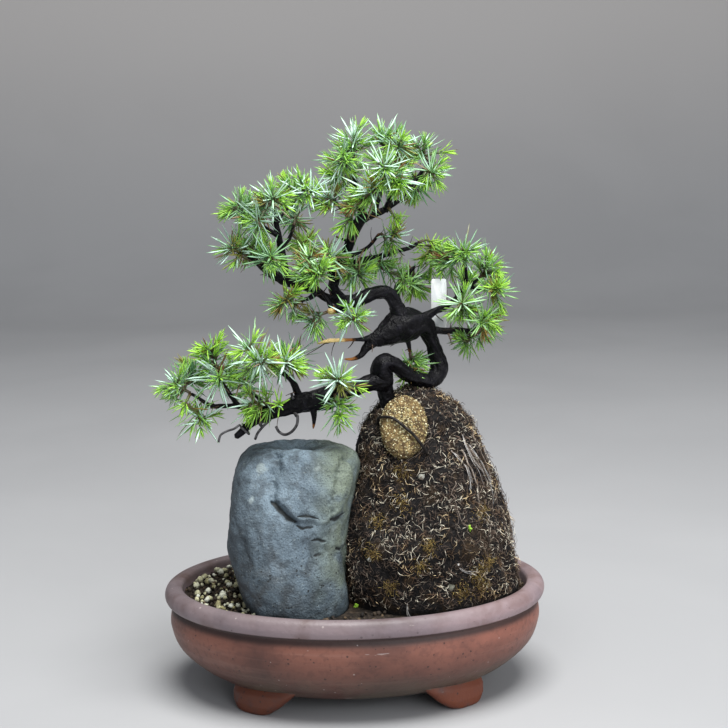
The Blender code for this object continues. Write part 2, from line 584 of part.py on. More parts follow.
def cylinder(centre, radius, height, sides=20):
    """Upright cylinder standing on a point."""
    turn = np.arange(sides) / sides * math.tau
    ring = np.stack((radius * np.cos(turn), radius * np.sin(turn), np.zeros(sides)), axis=1) + centre
    return lofted([ring, ring + (0.0, 0.0, height)])


def make_pot():
    """Oval clay bowl with a rolled rim, four bracket feet and two drainage holes."""
    rings = [pot_ring(inset, height) for inset, height in POT_OUTSIDE + POT_RIM + POT_INSIDE]
    pot = add_object("pot", lofted(rings), finish("unglazed_clay", CLAY, 0.55), 50.0)
    combine(pot, [foot_solid(side_x, side_y) for side_x in (-1, 1) for side_y in (-1, 1)], "UNION")
    below, above = POT_OUTSIDE[0][1] / 2, POT_INSIDE[-1][1] * 1.5
    holes = [cylinder((side * DRAIN_OFFSET, 0.0, below), DRAIN_RADIUS, above - below) for side in (-1, 1)]
    combine(pot, holes, "DIFFERENCE")
    dress(pot, pot.data.materials[0], 50.0)


def make_drain_meshes():
    """Thin plastic mesh disc lying on the pot's floor over each hole."""
    floor = POT_INSIDE[-1][1] + SEAT_GAP
    black = finish("drain_mesh_plastic", MESH_BLACK, 0.5)
    for name, side in (("drain_mesh_left", -1), ("drain_mesh_right", 1)):
        add_object(name, cylinder((side * DRAIN_OFFSET, 0.0, floor), MESH_RADIUS, MESH_THICKNESS), black)


def soil_height(share):
    """Height of the soil at a share of the way from the middle to the pot's wall."""
    return SOIL_EDGE + (SOIL_CROWN - SOIL_EDGE) * (1.0 - share ** 2)


def rough(points, size, depth, seed):
    """Noise for each point, as an array: features of a given size with a given depth."""
    offset = Vector((seed * 7.3, seed * 3.1, seed * 5.7))
    return np.array([depth * noise.noise(Vector(point) / size + offset) for point in points])


def oval_level(level, sides, power):
    """Ring of a rounded-square oval between its left, right, front and back limits."""
    height, left, right, front, back = level
    turn = np.arange(sides) / sides * math.tau
    cosine, sine = np.cos(turn), np.sin(turn)
    across = np.sign(cosine) * np.abs(cosine) ** (2 / power)
    deep = np.sign(sine) * np.abs(sine) ** (2 / power)
    centre = np.array(((left + right) / 2, (front + back) / 2))
    ring = np.stack((
        centre[0] + (right - left) / 2 * across,
        centre[1] + (back - front) / 2 * deep,
        np.full(sides, height)), axis=1)
    return ring, centre


def stone_solid(grow=0.0):
    """River stone: rounded block with a hollow in its top and a shallow valley down its front."""
    rings = []
    for index, level in enumerate(STONE_LEVELS):
        ring, centre = oval_level(level, STONE_SIDES, STONE_POWER)
        outward = ring[:, :2] - centre
        outward /= np.linalg.norm(outward, axis=1)[:, None]
        bump = rough(ring, 0.030, 0.0036, 1) + rough(ring, 0.013, 0.0016, 2)
        valley_x, valley_width, valley_depth = STONE_VALLEY
        facing = np.clip(-outward[:, 1], 0.0, 1.0) * np.clip((level[0] - 0.100) / 0.030, 0.0, 1.0)
        bump -= valley_depth * facing * np.exp(-((ring[:, 0] - valley_x) / valley_width) ** 2)
        lean = np.clip((level[0] - 0.115) / 0.020, 0.0, 1.0)
        ring[:, 2] += rough(ring, 0.018, 0.0012, 3) * lean - STONE_TILT * lean * (ring[:, 1] + 0.020)
        ring[:, 2] += grow * lean - (grow if index == 0 else 0.0)
        ring[:, :2] += outward * (bump + grow)[:, None]
        rings.append(ring)
    return lofted(rings)


def mat_lumps(points):
    """How far the root mat stands out at each point, fading to nothing at the soil."""
    calm = np.clip((np.array(points)[:, 2] - 0.058) / 0.015, 0.0, 1.0)
    return calm * (rough(points, 0.024, 0.0060, 4) + rough(points, 0.012, 0.0034, 5))


def mat_solid(grow=0.0):
    """Cone of peat and matted roots, lumpy all round, before it is fitted to its neighbours."""
    wall = pot_half_axes(POT_INSIDE[1][0]) - MAT_TO_WALL
    rings = []
    for index, level in enumerate(MAT_LEVELS):
        ring, centre = oval_level(level, MAT_SIDES, MAT_POWER)
        outward = ring[:, :2] - centre
        outward /= np.linalg.norm(outward, axis=1)[:, None]
        bump = mat_lumps(ring)
        ring[:, 2] -= grow if index == 0 else 0.0
        ring[:, :2] += outward * (bump + grow)[:, None]
        if level[0] < POT_RIM[3][1] + 0.002:
            reach = np.linalg.norm(ring[:, :2] / (wall + grow), axis=1)
            ring[:, :2] *= np.minimum(1.0, 1.0 / reach)[:, None]
        rings.append(ring)
    return lofted(rings)


def mat_outline(height):
    """Left, right, front and back of the root mat at a height."""
    levels = np.array(MAT_LEVELS)
    return [float(np.interp(height, levels[:, 0], levels[:, column])) for column in range(1, 5)]


def mat_point(turn, height):
    """Point on the root mat's lumpy side at an angle and a height."""
    left, right, front, back = mat_outline(height)
    outward = np.array((math.cos(turn), math.sin(turn), 0.0))
    point = np.array(((left + right) / 2, (front + back) / 2, height))
    point += outward * ((right - left) / 2, (back - front) / 2, 0.0)
    return point + outward * mat_lumps([point])


def surface_root_solids():
    """Thicker roots that run down the mat, half sunk in it, from the trunk's base to the soil."""
    draw = np.random.default_rng(17)
    solids = []
    for index in range(SURFACE_ROOTS):
        turn = math.radians(-118.0 + 236.0 * (index + 0.5) / SURFACE_ROOTS + draw.uniform(-6.0, 6.0))
        drift = math.radians(draw.uniform(-22.0, 22.0))
        heights = np.linspace(0.156, draw.uniform(0.070, 0.110), SURFACE_ROOT_STEPS)
        wave = draw.uniform(0.0, math.tau)
        points = [
            mat_point(turn + drift * step / SURFACE_ROOT_STEPS + 0.10 * math.sin(wave + 1.9 * step), height)
            for step, height in enumerate(heights)]
        radii = np.linspace(SURFACE_ROOT_RADIUS * 1.5, SURFACE_ROOT_RADIUS * 0.6, len(points))
        solids.append(tube(points, radii, 4))
    return solids


def limb_tube(limb, grow=0.0):
    """Resampled route and radii of one limb, with the number of sides that it needs."""
    route = smooth_route(LIMBS[limb], LIMB_PITCH)
    points, radii = route[:, :3], np.maximum(route[:, 3], 0.0003)
    sides = 8 if radii.max() > 0.0030 else 6 if radii.max() > 0.0018 else 4
    return points, radii + grow, sides


def make_trunk():
    """Trunk, loop, dead spikes, limbs and twigs, which grew as one piece of wood."""
    names = list(LIMBS)
    wood = finish("dark_bark", BARK, 0.5)
    trunk = add_object("trunk", tube(*limb_tube(names[0])), wood)
    combine(trunk, [tube(*limb_tube(name)) for name in names[1:]], "UNION")
    dress(trunk, wood, 50.0)


def cake_frame():
    """Middle of the cake's back face with its across, up and outward directions."""
    across = np.array((math.cos(CAKE_TURN), -math.sin(CAKE_TURN), 0.0))
    level_out = np.array((-math.sin(CAKE_TURN), -math.cos(CAKE_TURN), 0.0))
    upward = np.array((0.0, 0.0, 1.0))
    outward = math.cos(CAKE_TILT) * level_out + math.sin(CAKE_TILT) * upward
    up = math.cos(CAKE_TILT) * upward - math.sin(CAKE_TILT) * level_out
    return np.array(CAKE_CENTRE) - outward * CAKE_SINK, across, up, outward


def cake_solid(grow=0.0):
    """Domed oval tablet."""
    origin, across, up, outward = cake_frame()
    turn = np.arange(22) / 22 * math.tau
    rings = []
    for index, (share, height) in enumerate(CAKE_LEVELS):
        shift = -grow if index == 0 else grow if index == len(CAKE_LEVELS) - 1 else 0.0
        ring = origin + outward * (height + shift)
        ring = ring + np.outer(np.cos(turn) * (share * CAKE_HALF_WIDTH + grow), across)
        ring = ring + np.outer(np.sin(turn) * (share * CAKE_HALF_HEIGHT + grow), up)
        rings.append(ring)
    return facing_out(lofted(rings))


def pin_solid(grow=0.0):
    """Wire staple over the cake, with both legs pushed into the mat."""
    origin, across, up, outward = cake_frame()
    route = smooth_route(PIN_ROUTE, 0.0035)
    points = origin + route @ np.stack((across, up, outward))
    if grow:
        points[0] -= outward * 0.001
        points[-1] -= outward * 0.001
    return tube(points, PIN_RADIUS + grow, 6)


def make_stone_mat_and_soil():
    """Stone, root mat and soil, each fitted to its neighbours with a thin gap."""
    add_object("rock", stone_solid(), finish("river_stone", STONE, 0.75), 60.0)
    brown = finish("root_mat", ROOT_MAT, 0.95)
    mat = add_object("root_mound", mat_solid(), brown)
    combine(mat, surface_root_solids(), "UNION")
    stem_points, stem_radii, stem_sides = limb_tube("stem", SEAT_GAP + 0.0002)
    stem_points[0] -= (stem_points[1] - stem_points[0]) * 0.2
    cutters = [
        stone_solid(SEAT_GAP + 0.0001),
        cake_solid(SEAT_GAP),
        pin_solid(SEAT_GAP),
        tube(stem_points[:STEM_BASE_POINTS], stem_radii[:STEM_BASE_POINTS], stem_sides),
    ]
    combine(mat, cutters, "DIFFERENCE")
    dress(mat, brown, 50.0)
    dark = finish("potting_soil", SOIL, 0.95)
    walls = [pot_ring(inset, height, -SEAT_GAP) for inset, height in reversed(POT_INSIDE[1:])]
    walls[0][:, 2] += SEAT_GAP
    walls.append(pot_ring(*POT_INSIDE[0], -SEAT_GAP))
    top = [pot_ring(SOIL_INSET, SOIL_EDGE, -SEAT_GAP)]
    for share in (0.85, 0.6, 0.3):
        ring = pot_ring(SOIL_INSET, 0.0, -SEAT_GAP) * (share, share, 1.0)
        ring[:, 2] = soil_height(share)
        top.append(ring)
    soil = add_object("soil", lofted(walls + top), dark)
    floor = POT_INSIDE[-1][1]
    below, above = floor * 0.8, floor + MESH_THICKNESS + 2 * SEAT_GAP
    recesses = [
        cylinder((side * DRAIN_OFFSET, 0.0, below), MESH_RADIUS + SEAT_GAP, above - below, 24)
        for side in (-1, 1)]
    combine(soil, [stone_solid(SEAT_GAP + 0.0001), mat_solid(SEAT_GAP + 0.0001)] + recesses, "DIFFERENCE")
    dress(soil, dark, 50.0)


def bed_point(turn, share, above=0.0):
    """Point just over the soil, at an angle and a share of the way out to the pot's wall."""
    half_length, half_depth = pot_half_axes(SOIL_INSET)
    across, deep = share * half_length * math.cos(turn), share * half_depth * math.sin(turn)
    return np.array((across, deep, soil_height(share) + SEAT_GAP + above))


def gravel_slab():
    """Thin curved bed of gravel on the soil, between the stone and the pot's left end."""
    start, end = (math.radians(angle) for angle in GRAVEL_ARC)
    rings = []
    for turn in np.linspace(start, end, GRAVEL_STEPS):
        section = [bed_point(turn, share) for share in GRAVEL_SHARES]
        section += [bed_point(turn, share, GRAVEL_THICKNESS) for share in reversed(GRAVEL_SHARES)]
        rings.append(np.array(section))
    return facing_out(lofted(rings))


def pebble_solid(centre, radius, bed, draw):
    """Rough pebble: the corners of a box moved, stretched and turned at random, above its bed."""
    corners = np.array([(a, b, c) for a in (-1, 1) for b in (-1, 1) for c in (-1, 1)], dtype=float)
    corners *= radius / math.sqrt(3) * draw.uniform(0.85, 1.25, (8, 1)) * draw.uniform(0.8, 1.2, 3)
    turn, _ = np.linalg.qr(draw.normal(size=(3, 3)))
    corners = corners @ turn + centre
    corners[:, 2] = np.maximum(corners[:, 2], bed + 0.0008 + 0.2 * np.abs(corners[:, 0] - centre[0]))
    return hull_solid(corners)


def hull_solid(points):
    """Convex solid round a few points: each triangle that has all the other points behind it."""
    faces = []
    count = len(points)
    middle = points.mean(axis=0)
    for a in range(count):
        for b in range(a + 1, count):
            for c in range(b + 1, count):
                normal = np.cross(points[b] - points[a], points[c] - points[a])
                side = (points - points[a]) @ normal
                if side.max() < 1e-15 or side.min() > -1e-15:
                    outward = np.dot(normal, points[a] - middle) > 0
                    faces.append((a, b, c) if outward else (a, c, b))
    used = sorted({corner for face in faces for corner in face})
    place = {corner: index for index, corner in enumerate(used)}
    return points[used], [tuple(place[corner] for corner in face) for face in faces]


def make_gravel():
    """Pale pumice pebbles packed in one bed, beside the stone."""
    draw = np.random.default_rng(5)
    pale = finish("pumice", PUMICE, 0.9)
    gravel = add_object("pumice_gravel", gravel_slab(), pale)
    pebbles = []
    for _ in range(PEBBLE_COUNT):
        turn = math.radians(draw.uniform(GRAVEL_ARC[0] + 4, GRAVEL_ARC[1] - 4))
        share = draw.uniform(GRAVEL_SHARES[0] + 0.03, GRAVEL_SHARES[-1] - 0.04)
        radius = draw.uniform(*PEBBLE_RADII)
        centre = bed_point(turn, share, GRAVEL_THICKNESS + 0.2 * radius)
        pebbles.append(pebble_solid(centre, radius, bed_point(turn, share)[2], draw))
    combine(gravel, pebbles, "UNION")
    combine(gravel, [stone_solid(SEAT_GAP + 0.0002)], "DIFFERENCE")
    dress(gravel, pale, 30.0)


def make_cake_and_pin():
    """Fertilizer cake on the mat and the wire that pins it."""
    add_object("fertilizer_cake", cake_solid(), finish("fertilizer_cake", CAKE, 0.95), 50.0)
    add_object("cake_pin", pin_solid(), finish("pin_wire", WIRE_DARK, 0.45, 1.0))


def make_label():
    """Blank plastic strip that leans on the right limb from behind."""
    width, thickness, height = LABEL_SIZE
    left, right = LABEL_CENTRE[0] - width / 2, LABEL_CENTRE[0] + width / 2
    near, far = LABEL_CENTRE[1] - thickness / 2, LABEL_CENTRE[1] + thickness / 2
    base = LABEL_CENTRE[2] - height / 2
    ring = np.array(((left, near, base), (right, near, base), (right, far, base), (left, far, base)))
    white = finish("label_plastic", LABEL_WHITE, 0.35)
    add_object("label_strip", lofted([ring, ring + (0.0, 0.0, height)]), white)


def wire_route(limb, share, wire_radius, tail):
    """One turn of wire round a limb, a thin gap off it, and then its free tail."""
    points, radii, _ = limb_tube(limb)
    lengths = np.concatenate(((0.0,), np.cumsum(np.linalg.norm(np.diff(points, axis=0), axis=1))))
    reach = share * lengths[-1]
    centre = np.array([np.interp(reach, lengths, points[:, axis]) for axis in range(3)])
    ahead = np.array([np.interp(reach + 0.002, lengths, points[:, axis]) for axis in range(3)])
    radius = float(np.interp(reach, lengths, radii)) + wire_radius + WIRE_SEAT
    tangent = (ahead - centre) / np.linalg.norm(ahead - centre)
    first = np.array(tail[0]) - centre
    first -= tangent * np.dot(first, tangent)
    first /= np.linalg.norm(first)
    second = np.cross(tangent, first)
    turns = np.linspace(-1.55 * math.pi, 0.0, WIRE_STEPS)
    coil = [
        centre + tangent * WIRE_PITCH * turn / math.tau
        + radius * (math.cos(turn) * first + math.sin(turn) * second)
        for turn in turns]
    return np.vstack((coil, smooth_route([coil[-1]] + [np.array(point) for point in tail], 0.003)[1:]))


def make_wires():
    """Old training wires left on the lower limb."""
    grey = finish("training_wire", WIRE_GREY, 0.5, 1.0)
    for name, (limb, share, wire_radius, tail) in WIRES.items():
        add_object(name, tube(wire_route(limb, share, wire_radius, tail), wire_radius, 5), grey)


def spans_of(points, radii):
    """Stretches between neighbouring points: starts, ends, start radii and end radii."""
    points = np.asarray(points, dtype=float)
    radii = np.broadcast_to(radii, len(points))
    return np.hstack((points[:-1], points[1:], radii[:-1, None], radii[1:, None]))


def smallest_gap(start, end, radius, tip_radius, spans):
    """Smallest gap between one tapered stretch and many others, all taken as round."""
    if not len(spans):
        return 1.0
    first, second = end - start, spans[:, 3:6] - spans[:, :3]
    between = start - spans[:, :3]
    a = float(np.dot(first, first))
    b = second @ first
    c = between @ first
    e = np.einsum("ij,ij->i", second, second)
    f = np.einsum("ij,ij->i", second, between)
    denominator = np.maximum(a * e - b * b, 1e-18)
    along = np.clip((b * f - c * e) / denominator, 0.0, 1.0)
    other = (b * along + f) / e
    clipped = np.clip(other, 0.0, 1.0)
    along = np.clip((clipped * b - c) / a, 0.0, 1.0)
    offset = between + np.outer(along, first) - clipped[:, None] * second
    own = radius + (tip_radius - radius) * along
    theirs = spans[:, 6] + (spans[:, 7] - spans[:, 6]) * clipped
    return float(np.min(np.linalg.norm(offset, axis=1) - own - theirs))


def clear_of_mat_and_stone(start, end, margin):
    """True where a stretch stays outside the root mat and above the stone."""
    for share in np.linspace(0.0, 1.0, 7):
        x, y, z = start + (end - start) * share
        if z < MAT_CLEAR:
            left, right, front, back = mat_outline(z)
            across = (x - (left + right) / 2) / ((right - left) / 2 + margin)
            deep = (y - (front + back) / 2) / ((back - front) / 2 + margin)
            if across ** 2 + deep ** 2 < 1.0:
                return False
        if z < STONE_CLEAR and x < 0.005:
            return False
        if abs(x) > LIMIT_X or abs(y) > LIMIT_Y or z > LIMIT_Z:
            return False
    return True


def shoot_route(target, spans):
    """Route of a shoot from the nearest wood to its rosette, starting a thin gap off the bark."""
    starts, steps = spans[:, :3], spans[:, 3:6] - spans[:, :3]
    share = np.einsum("ij,ij->i", target - starts, steps) / np.einsum("ij,ij->i", steps, steps)
    share = np.clip(share, 0.0, 1.0)
    nearest = starts + steps * share[:, None]
    distance = np.linalg.norm(target - nearest, axis=1)
    pick = int(np.argmin(distance))
    tangent = steps[pick] / np.linalg.norm(steps[pick])
    radius = spans[pick, 6] + (spans[pick, 7] - spans[pick, 6]) * share[pick]
    root = nearest[pick]
    away = target - root
    away *= max(1.0, SHORTEST_SHOOT / (np.linalg.norm(away) - radius))
    target = root + away
    at_tip = share[pick] > 0.999 and np.dot(away, tangent) > 0.75 * np.linalg.norm(away)
    if at_tip:
        start = root + tangent * SHOOT_SEAT
        lead = tangent
    else:
        lead = away - tangent * np.dot(away, tangent)
        lead /= np.linalg.norm(lead)
        start = root + lead * (radius + SHOOT_SEAT)
    bend = start + lead * 0.0030 + (target - start) * 0.12
    return smooth_route((start, bend, target), SHOOT_PITCH)


def shoot_spans(rosettes, wood):
    """Stems of one spray: the first grows off the wood, the others off the stems before them."""
    stems = []
    for index, (_, *place) in enumerate(rosettes):
        target = np.array(place)
        if index == 0:
            route = shoot_route(target, wood)
        else:
            forks = np.vstack([points[len(points) // 3:-1] for points, _ in stems])
            root = forks[int(np.argmin(np.linalg.norm(target - forks, axis=1)))]
            target = root + (target - root) * max(1.0, SHORTEST_SHOOT / np.linalg.norm(target - root))
            middle = (root + target) / 2 + (0.0, 0.0, SHOOT_LIFT)
            route = smooth_route((root, middle, target), SHOOT_PITCH)
        stems.append((route, np.linspace(SHOOT_RADIUS, SHOOT_TIP_RADIUS, len(route))))
    return stems


def whorl_places(kind, length):
    """Whorls of one rosette, lowest first: place along the stem, angle off it and needle length."""
    whorls = list(OPEN_WHORLS if kind == OPEN else TUFT_WHORLS)
    back = whorls[-1][0] + STEM_WHORL_PITCH
    while kind == OPEN and back < length - BARE_FOOT:
        whorls.append((back, 94.0, 0.86))
        back += STEM_WHORL_PITCH
    kept = [whorl for whorl in whorls if whorl[0] < length - BARE_FOOT]
    kept.reverse()
    return [(length - back, math.radians(angle), share * NEEDLE_LENGTH) for back, angle, share in kept]


def stem_frame(route, reach):
    """Point, direction and two cross directions of a stem at a distance along it."""
    lengths = np.concatenate(((0.0,), np.cumsum(np.linalg.norm(np.diff(route, axis=0), axis=1))))
    ends = [[np.interp(place, lengths, route[:, axis]) for axis in range(3)] for place in
            (reach, max(0.0, reach - 0.0008), min(lengths[-1], reach + 0.0008))]
    point, behind, ahead = (np.array(end) for end in ends)
    axis = (ahead - behind) / np.linalg.norm(ahead - behind)
    across = np.cross(np.array((0.31, 0.94, 0.12)), axis)
    across /= np.linalg.norm(across)
    return point, axis, across, np.cross(axis, across)


def free_tip(base, axis, normal, angle, length, obstacles, own, draw):
    """Tip of a needle that starts on one face of its stem and crosses nothing, or None."""
    side_way = np.cross(axis, normal)
    for attempt in range(NEEDLE_TRIES):
        spread = math.radians(4.0 + 26.0 * attempt / NEEDLE_TRIES)
        tried = min(max(angle + draw.normal() * spread, math.radians(16.0)), math.radians(118.0))
        turn = min(max(draw.normal() * spread * 1.3, math.radians(-48.0)), math.radians(48.0))
        side = math.cos(turn) * normal + math.sin(turn) * side_way
        tip = base + (math.cos(tried) * axis + math.sin(tried) * side) * length
        apart = base + (tip - base) * 0.2
        if smallest_gap(base, tip, NEEDLE_RADIUS, NEEDLE_TIP_RADIUS, obstacles) < NEEDLE_CLEARANCE:
            continue
        if own and smallest_gap(apart, tip, 0.8 * NEEDLE_RADIUS, NEEDLE_TIP_RADIUS, np.array(own)) < 0.0001:
            continue
        if clear_of_mat_and_stone(base, tip, FOLIAGE_MARGIN):
            own.append(np.concatenate((apart, tip, (0.8 * NEEDLE_RADIUS, NEEDLE_TIP_RADIUS))))
            return tip
    return None


def leafy_stem(kind, route, obstacles, own, draw):
    """Slim three-sided stem whose faces rise into needles, in whorls of three turned by half a face."""
    length = float(np.sum(np.linalg.norm(np.diff(route, axis=0), axis=1)))
    stations = [(0.0, None)]
    for reach, angle, needle in whorl_places(kind, length):
        if reach - stations[-1][0] > 2.5 * STEM_WHORL_PITCH:
            stations.append(((reach + stations[-1][0]) / 2, None))
        stations.append((reach - NEEDLE_BAND / 2, None))
        stations.append((reach + NEEDLE_BAND / 2, (angle, needle)))
    stations.append((length, None))
    turn = draw.uniform(0.0, math.tau)
    rings, needles, tips = [], {}, []
    for index, (reach, whorl) in enumerate(stations):
        if index + 1 < len(stations) and stations[index + 1][1] is not None:
            turn += math.pi / 3
        point, axis, across, second = stem_frame(route, reach)
        radius = SHOOT_RADIUS + (SHOOT_TIP_RADIUS - SHOOT_RADIUS) * reach / length
        angles = turn + np.arange(3) * math.tau / 3
        rings.append(point + radius * (np.outer(np.cos(angles), across) + np.outer(np.sin(angles), second)))
        if whorl is None:
            continue
        for side in range(3):
            after = (side + 1) % 3
            base = (rings[-2][side] + rings[-2][after] + rings[-1][side] + rings[-1][after]) / 4
            normal = base - axis * np.dot(base - point, axis) - point
            normal /= np.linalg.norm(normal)
            reach_out = whorl[1] * draw.uniform(0.94, 1.06)
            tip = free_tip(base, axis, normal, whorl[0], reach_out, obstacles, own, draw)
            if tip is not None:
                needles[(index - 1) * 3 + side] = len(tips)
                tips.append((base, tip))
    bud = stem_frame(route, length)
    vertices, faces = lofted(rings, split=False)
    first_tip = len(vertices)
    vertices = np.vstack([vertices] + [tip for _, tip in tips] + [bud[0] + bud[1] * BUD_LENGTH])
    solid_faces = [faces[0]]
    for index, face in enumerate(faces[1:-1]):
        if index in needles:
            apex = first_tip + needles[index]
            solid_faces += [(face[side], face[(side + 1) % 4], apex) for side in range(4)]
        else:
            solid_faces += [(face[0], face[1], face[3]), (face[1], face[2], face[3])]
    last = faces[-1]
    solid_faces += [(last[side], last[(side + 1) % 3], len(vertices) - 1) for side in range(3)]
    return (vertices, solid_faces), tips


def fixed_obstacles(wood):
    """Everything that the needles keep clear of, as round stretches."""
    fixed = [wood]
    for limb, share, wire_radius, tail in WIRES.values():
        fixed.append(spans_of(wire_route(limb, share, wire_radius, tail), wire_radius))
    origin, _, _, outward = cake_frame()
    fixed.append(spans_of((origin, origin + outward * 0.010), CAKE_HALF_HEIGHT))
    for side in (-1, 0, 1):
        foot = np.array(LABEL_CENTRE) + (side * LABEL_SIZE[0] / 3, 0.0, -LABEL_SIZE[2] / 2)
        fixed.append(spans_of((foot, foot + (0.0, 0.0, LABEL_SIZE[2])), 0.0020))
    return fixed


def make_sprays():
    """All foliage sprays, one node each: slim stems that carry whorls of needles."""
    draw = np.random.default_rng(29)
    wood = np.vstack([spans_of(*limb_tube(name)[:2]) for name in LIMBS])
    fixed = fixed_obstacles(wood)
    stems = {name: shoot_spans(rosettes, wood) for name, rosettes in SPRAYS.items()}
    stem_spans = {name: np.vstack([spans_of(*stem) for stem in grown]) for name, grown in stems.items()}
    needle_spans = []
    for name, rosettes in SPRAYS.items():
        others = fixed + needle_spans
        others += [spans for other, spans in stem_spans.items() if other != name]
        own, solids, grown = [], [], []
        for index, ((kind, *_), (route, _)) in enumerate(zip(rosettes, stems[name])):
            siblings = [spans_of(*stem) for place, stem in enumerate(stems[name]) if place > index]
            solid, tips = leafy_stem(kind, route, np.vstack(others + siblings), own, draw)
            solids.append(solid)
            grown += tips
        needle_spans.append(np.vstack([
            np.concatenate((start, end, (NEEDLE_RADIUS, NEEDLE_TIP_RADIUS))) for start, end in grown]))
        colour = NEEDLE_NEW if rosettes[0][0] == TUFT else NEEDLE_OLD
        green = finish(name + "_needles", colour, 0.5)
        spray = add_object(name, solids[0], green)
        if len(solids) > 1:
            combine(spray, solids[1:], "UNION", "MANIFOLD")
        dress(spray, green, 30.0)


def main():
    """Build every piece of the bonsai."""
    clear_scene()
    make_pot()
    make_drain_meshes()
    make_stone_mat_and_soil()
    make_gravel()
    make_trunk()
    make_cake_and_pin()
    make_label()
    make_wires()
    make_sprays()


main()
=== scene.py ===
"""Looks of a root over rock bonsai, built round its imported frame.

Units are metres and +Z is up. The pot's long side runs along X and the front of the tree faces -Y.
"""

import logging
import math
from dataclasses import dataclass, field
from enum import Enum

import bmesh
import bpy
import numpy as np
from mathutils import Matrix
from numpy.typing import NDArray


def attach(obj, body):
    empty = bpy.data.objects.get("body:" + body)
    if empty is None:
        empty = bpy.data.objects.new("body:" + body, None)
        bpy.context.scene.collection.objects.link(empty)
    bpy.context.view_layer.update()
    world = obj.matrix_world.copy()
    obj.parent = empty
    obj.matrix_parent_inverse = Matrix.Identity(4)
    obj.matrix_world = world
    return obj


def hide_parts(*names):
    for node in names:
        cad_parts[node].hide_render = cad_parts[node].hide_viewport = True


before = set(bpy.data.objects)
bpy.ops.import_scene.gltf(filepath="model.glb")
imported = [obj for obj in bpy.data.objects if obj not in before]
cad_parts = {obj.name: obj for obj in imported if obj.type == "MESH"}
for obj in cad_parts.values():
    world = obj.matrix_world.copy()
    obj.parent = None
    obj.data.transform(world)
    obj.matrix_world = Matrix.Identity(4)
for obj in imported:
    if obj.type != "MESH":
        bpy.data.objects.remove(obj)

LOG = logging.getLogger("bonsai")
Array = NDArray[np.float64]
Colour = tuple[float, float, float]
Pair = tuple[float, float]
Point = tuple[float, float, float]
# Places and sizes in whole tenths of a millimetre
Rows = tuple[tuple[int, ...], ...]
Draw = np.random.Generator
Mesh = bpy.types.Mesh
Material = bpy.types.Material
Node = bpy.types.Node
Socket = bpy.types.NodeSocket
MILLIMETRES_IN_METRE = 1000
TENTHS_IN_METRE = 10000
PLACES_IN_BLOCK = 512


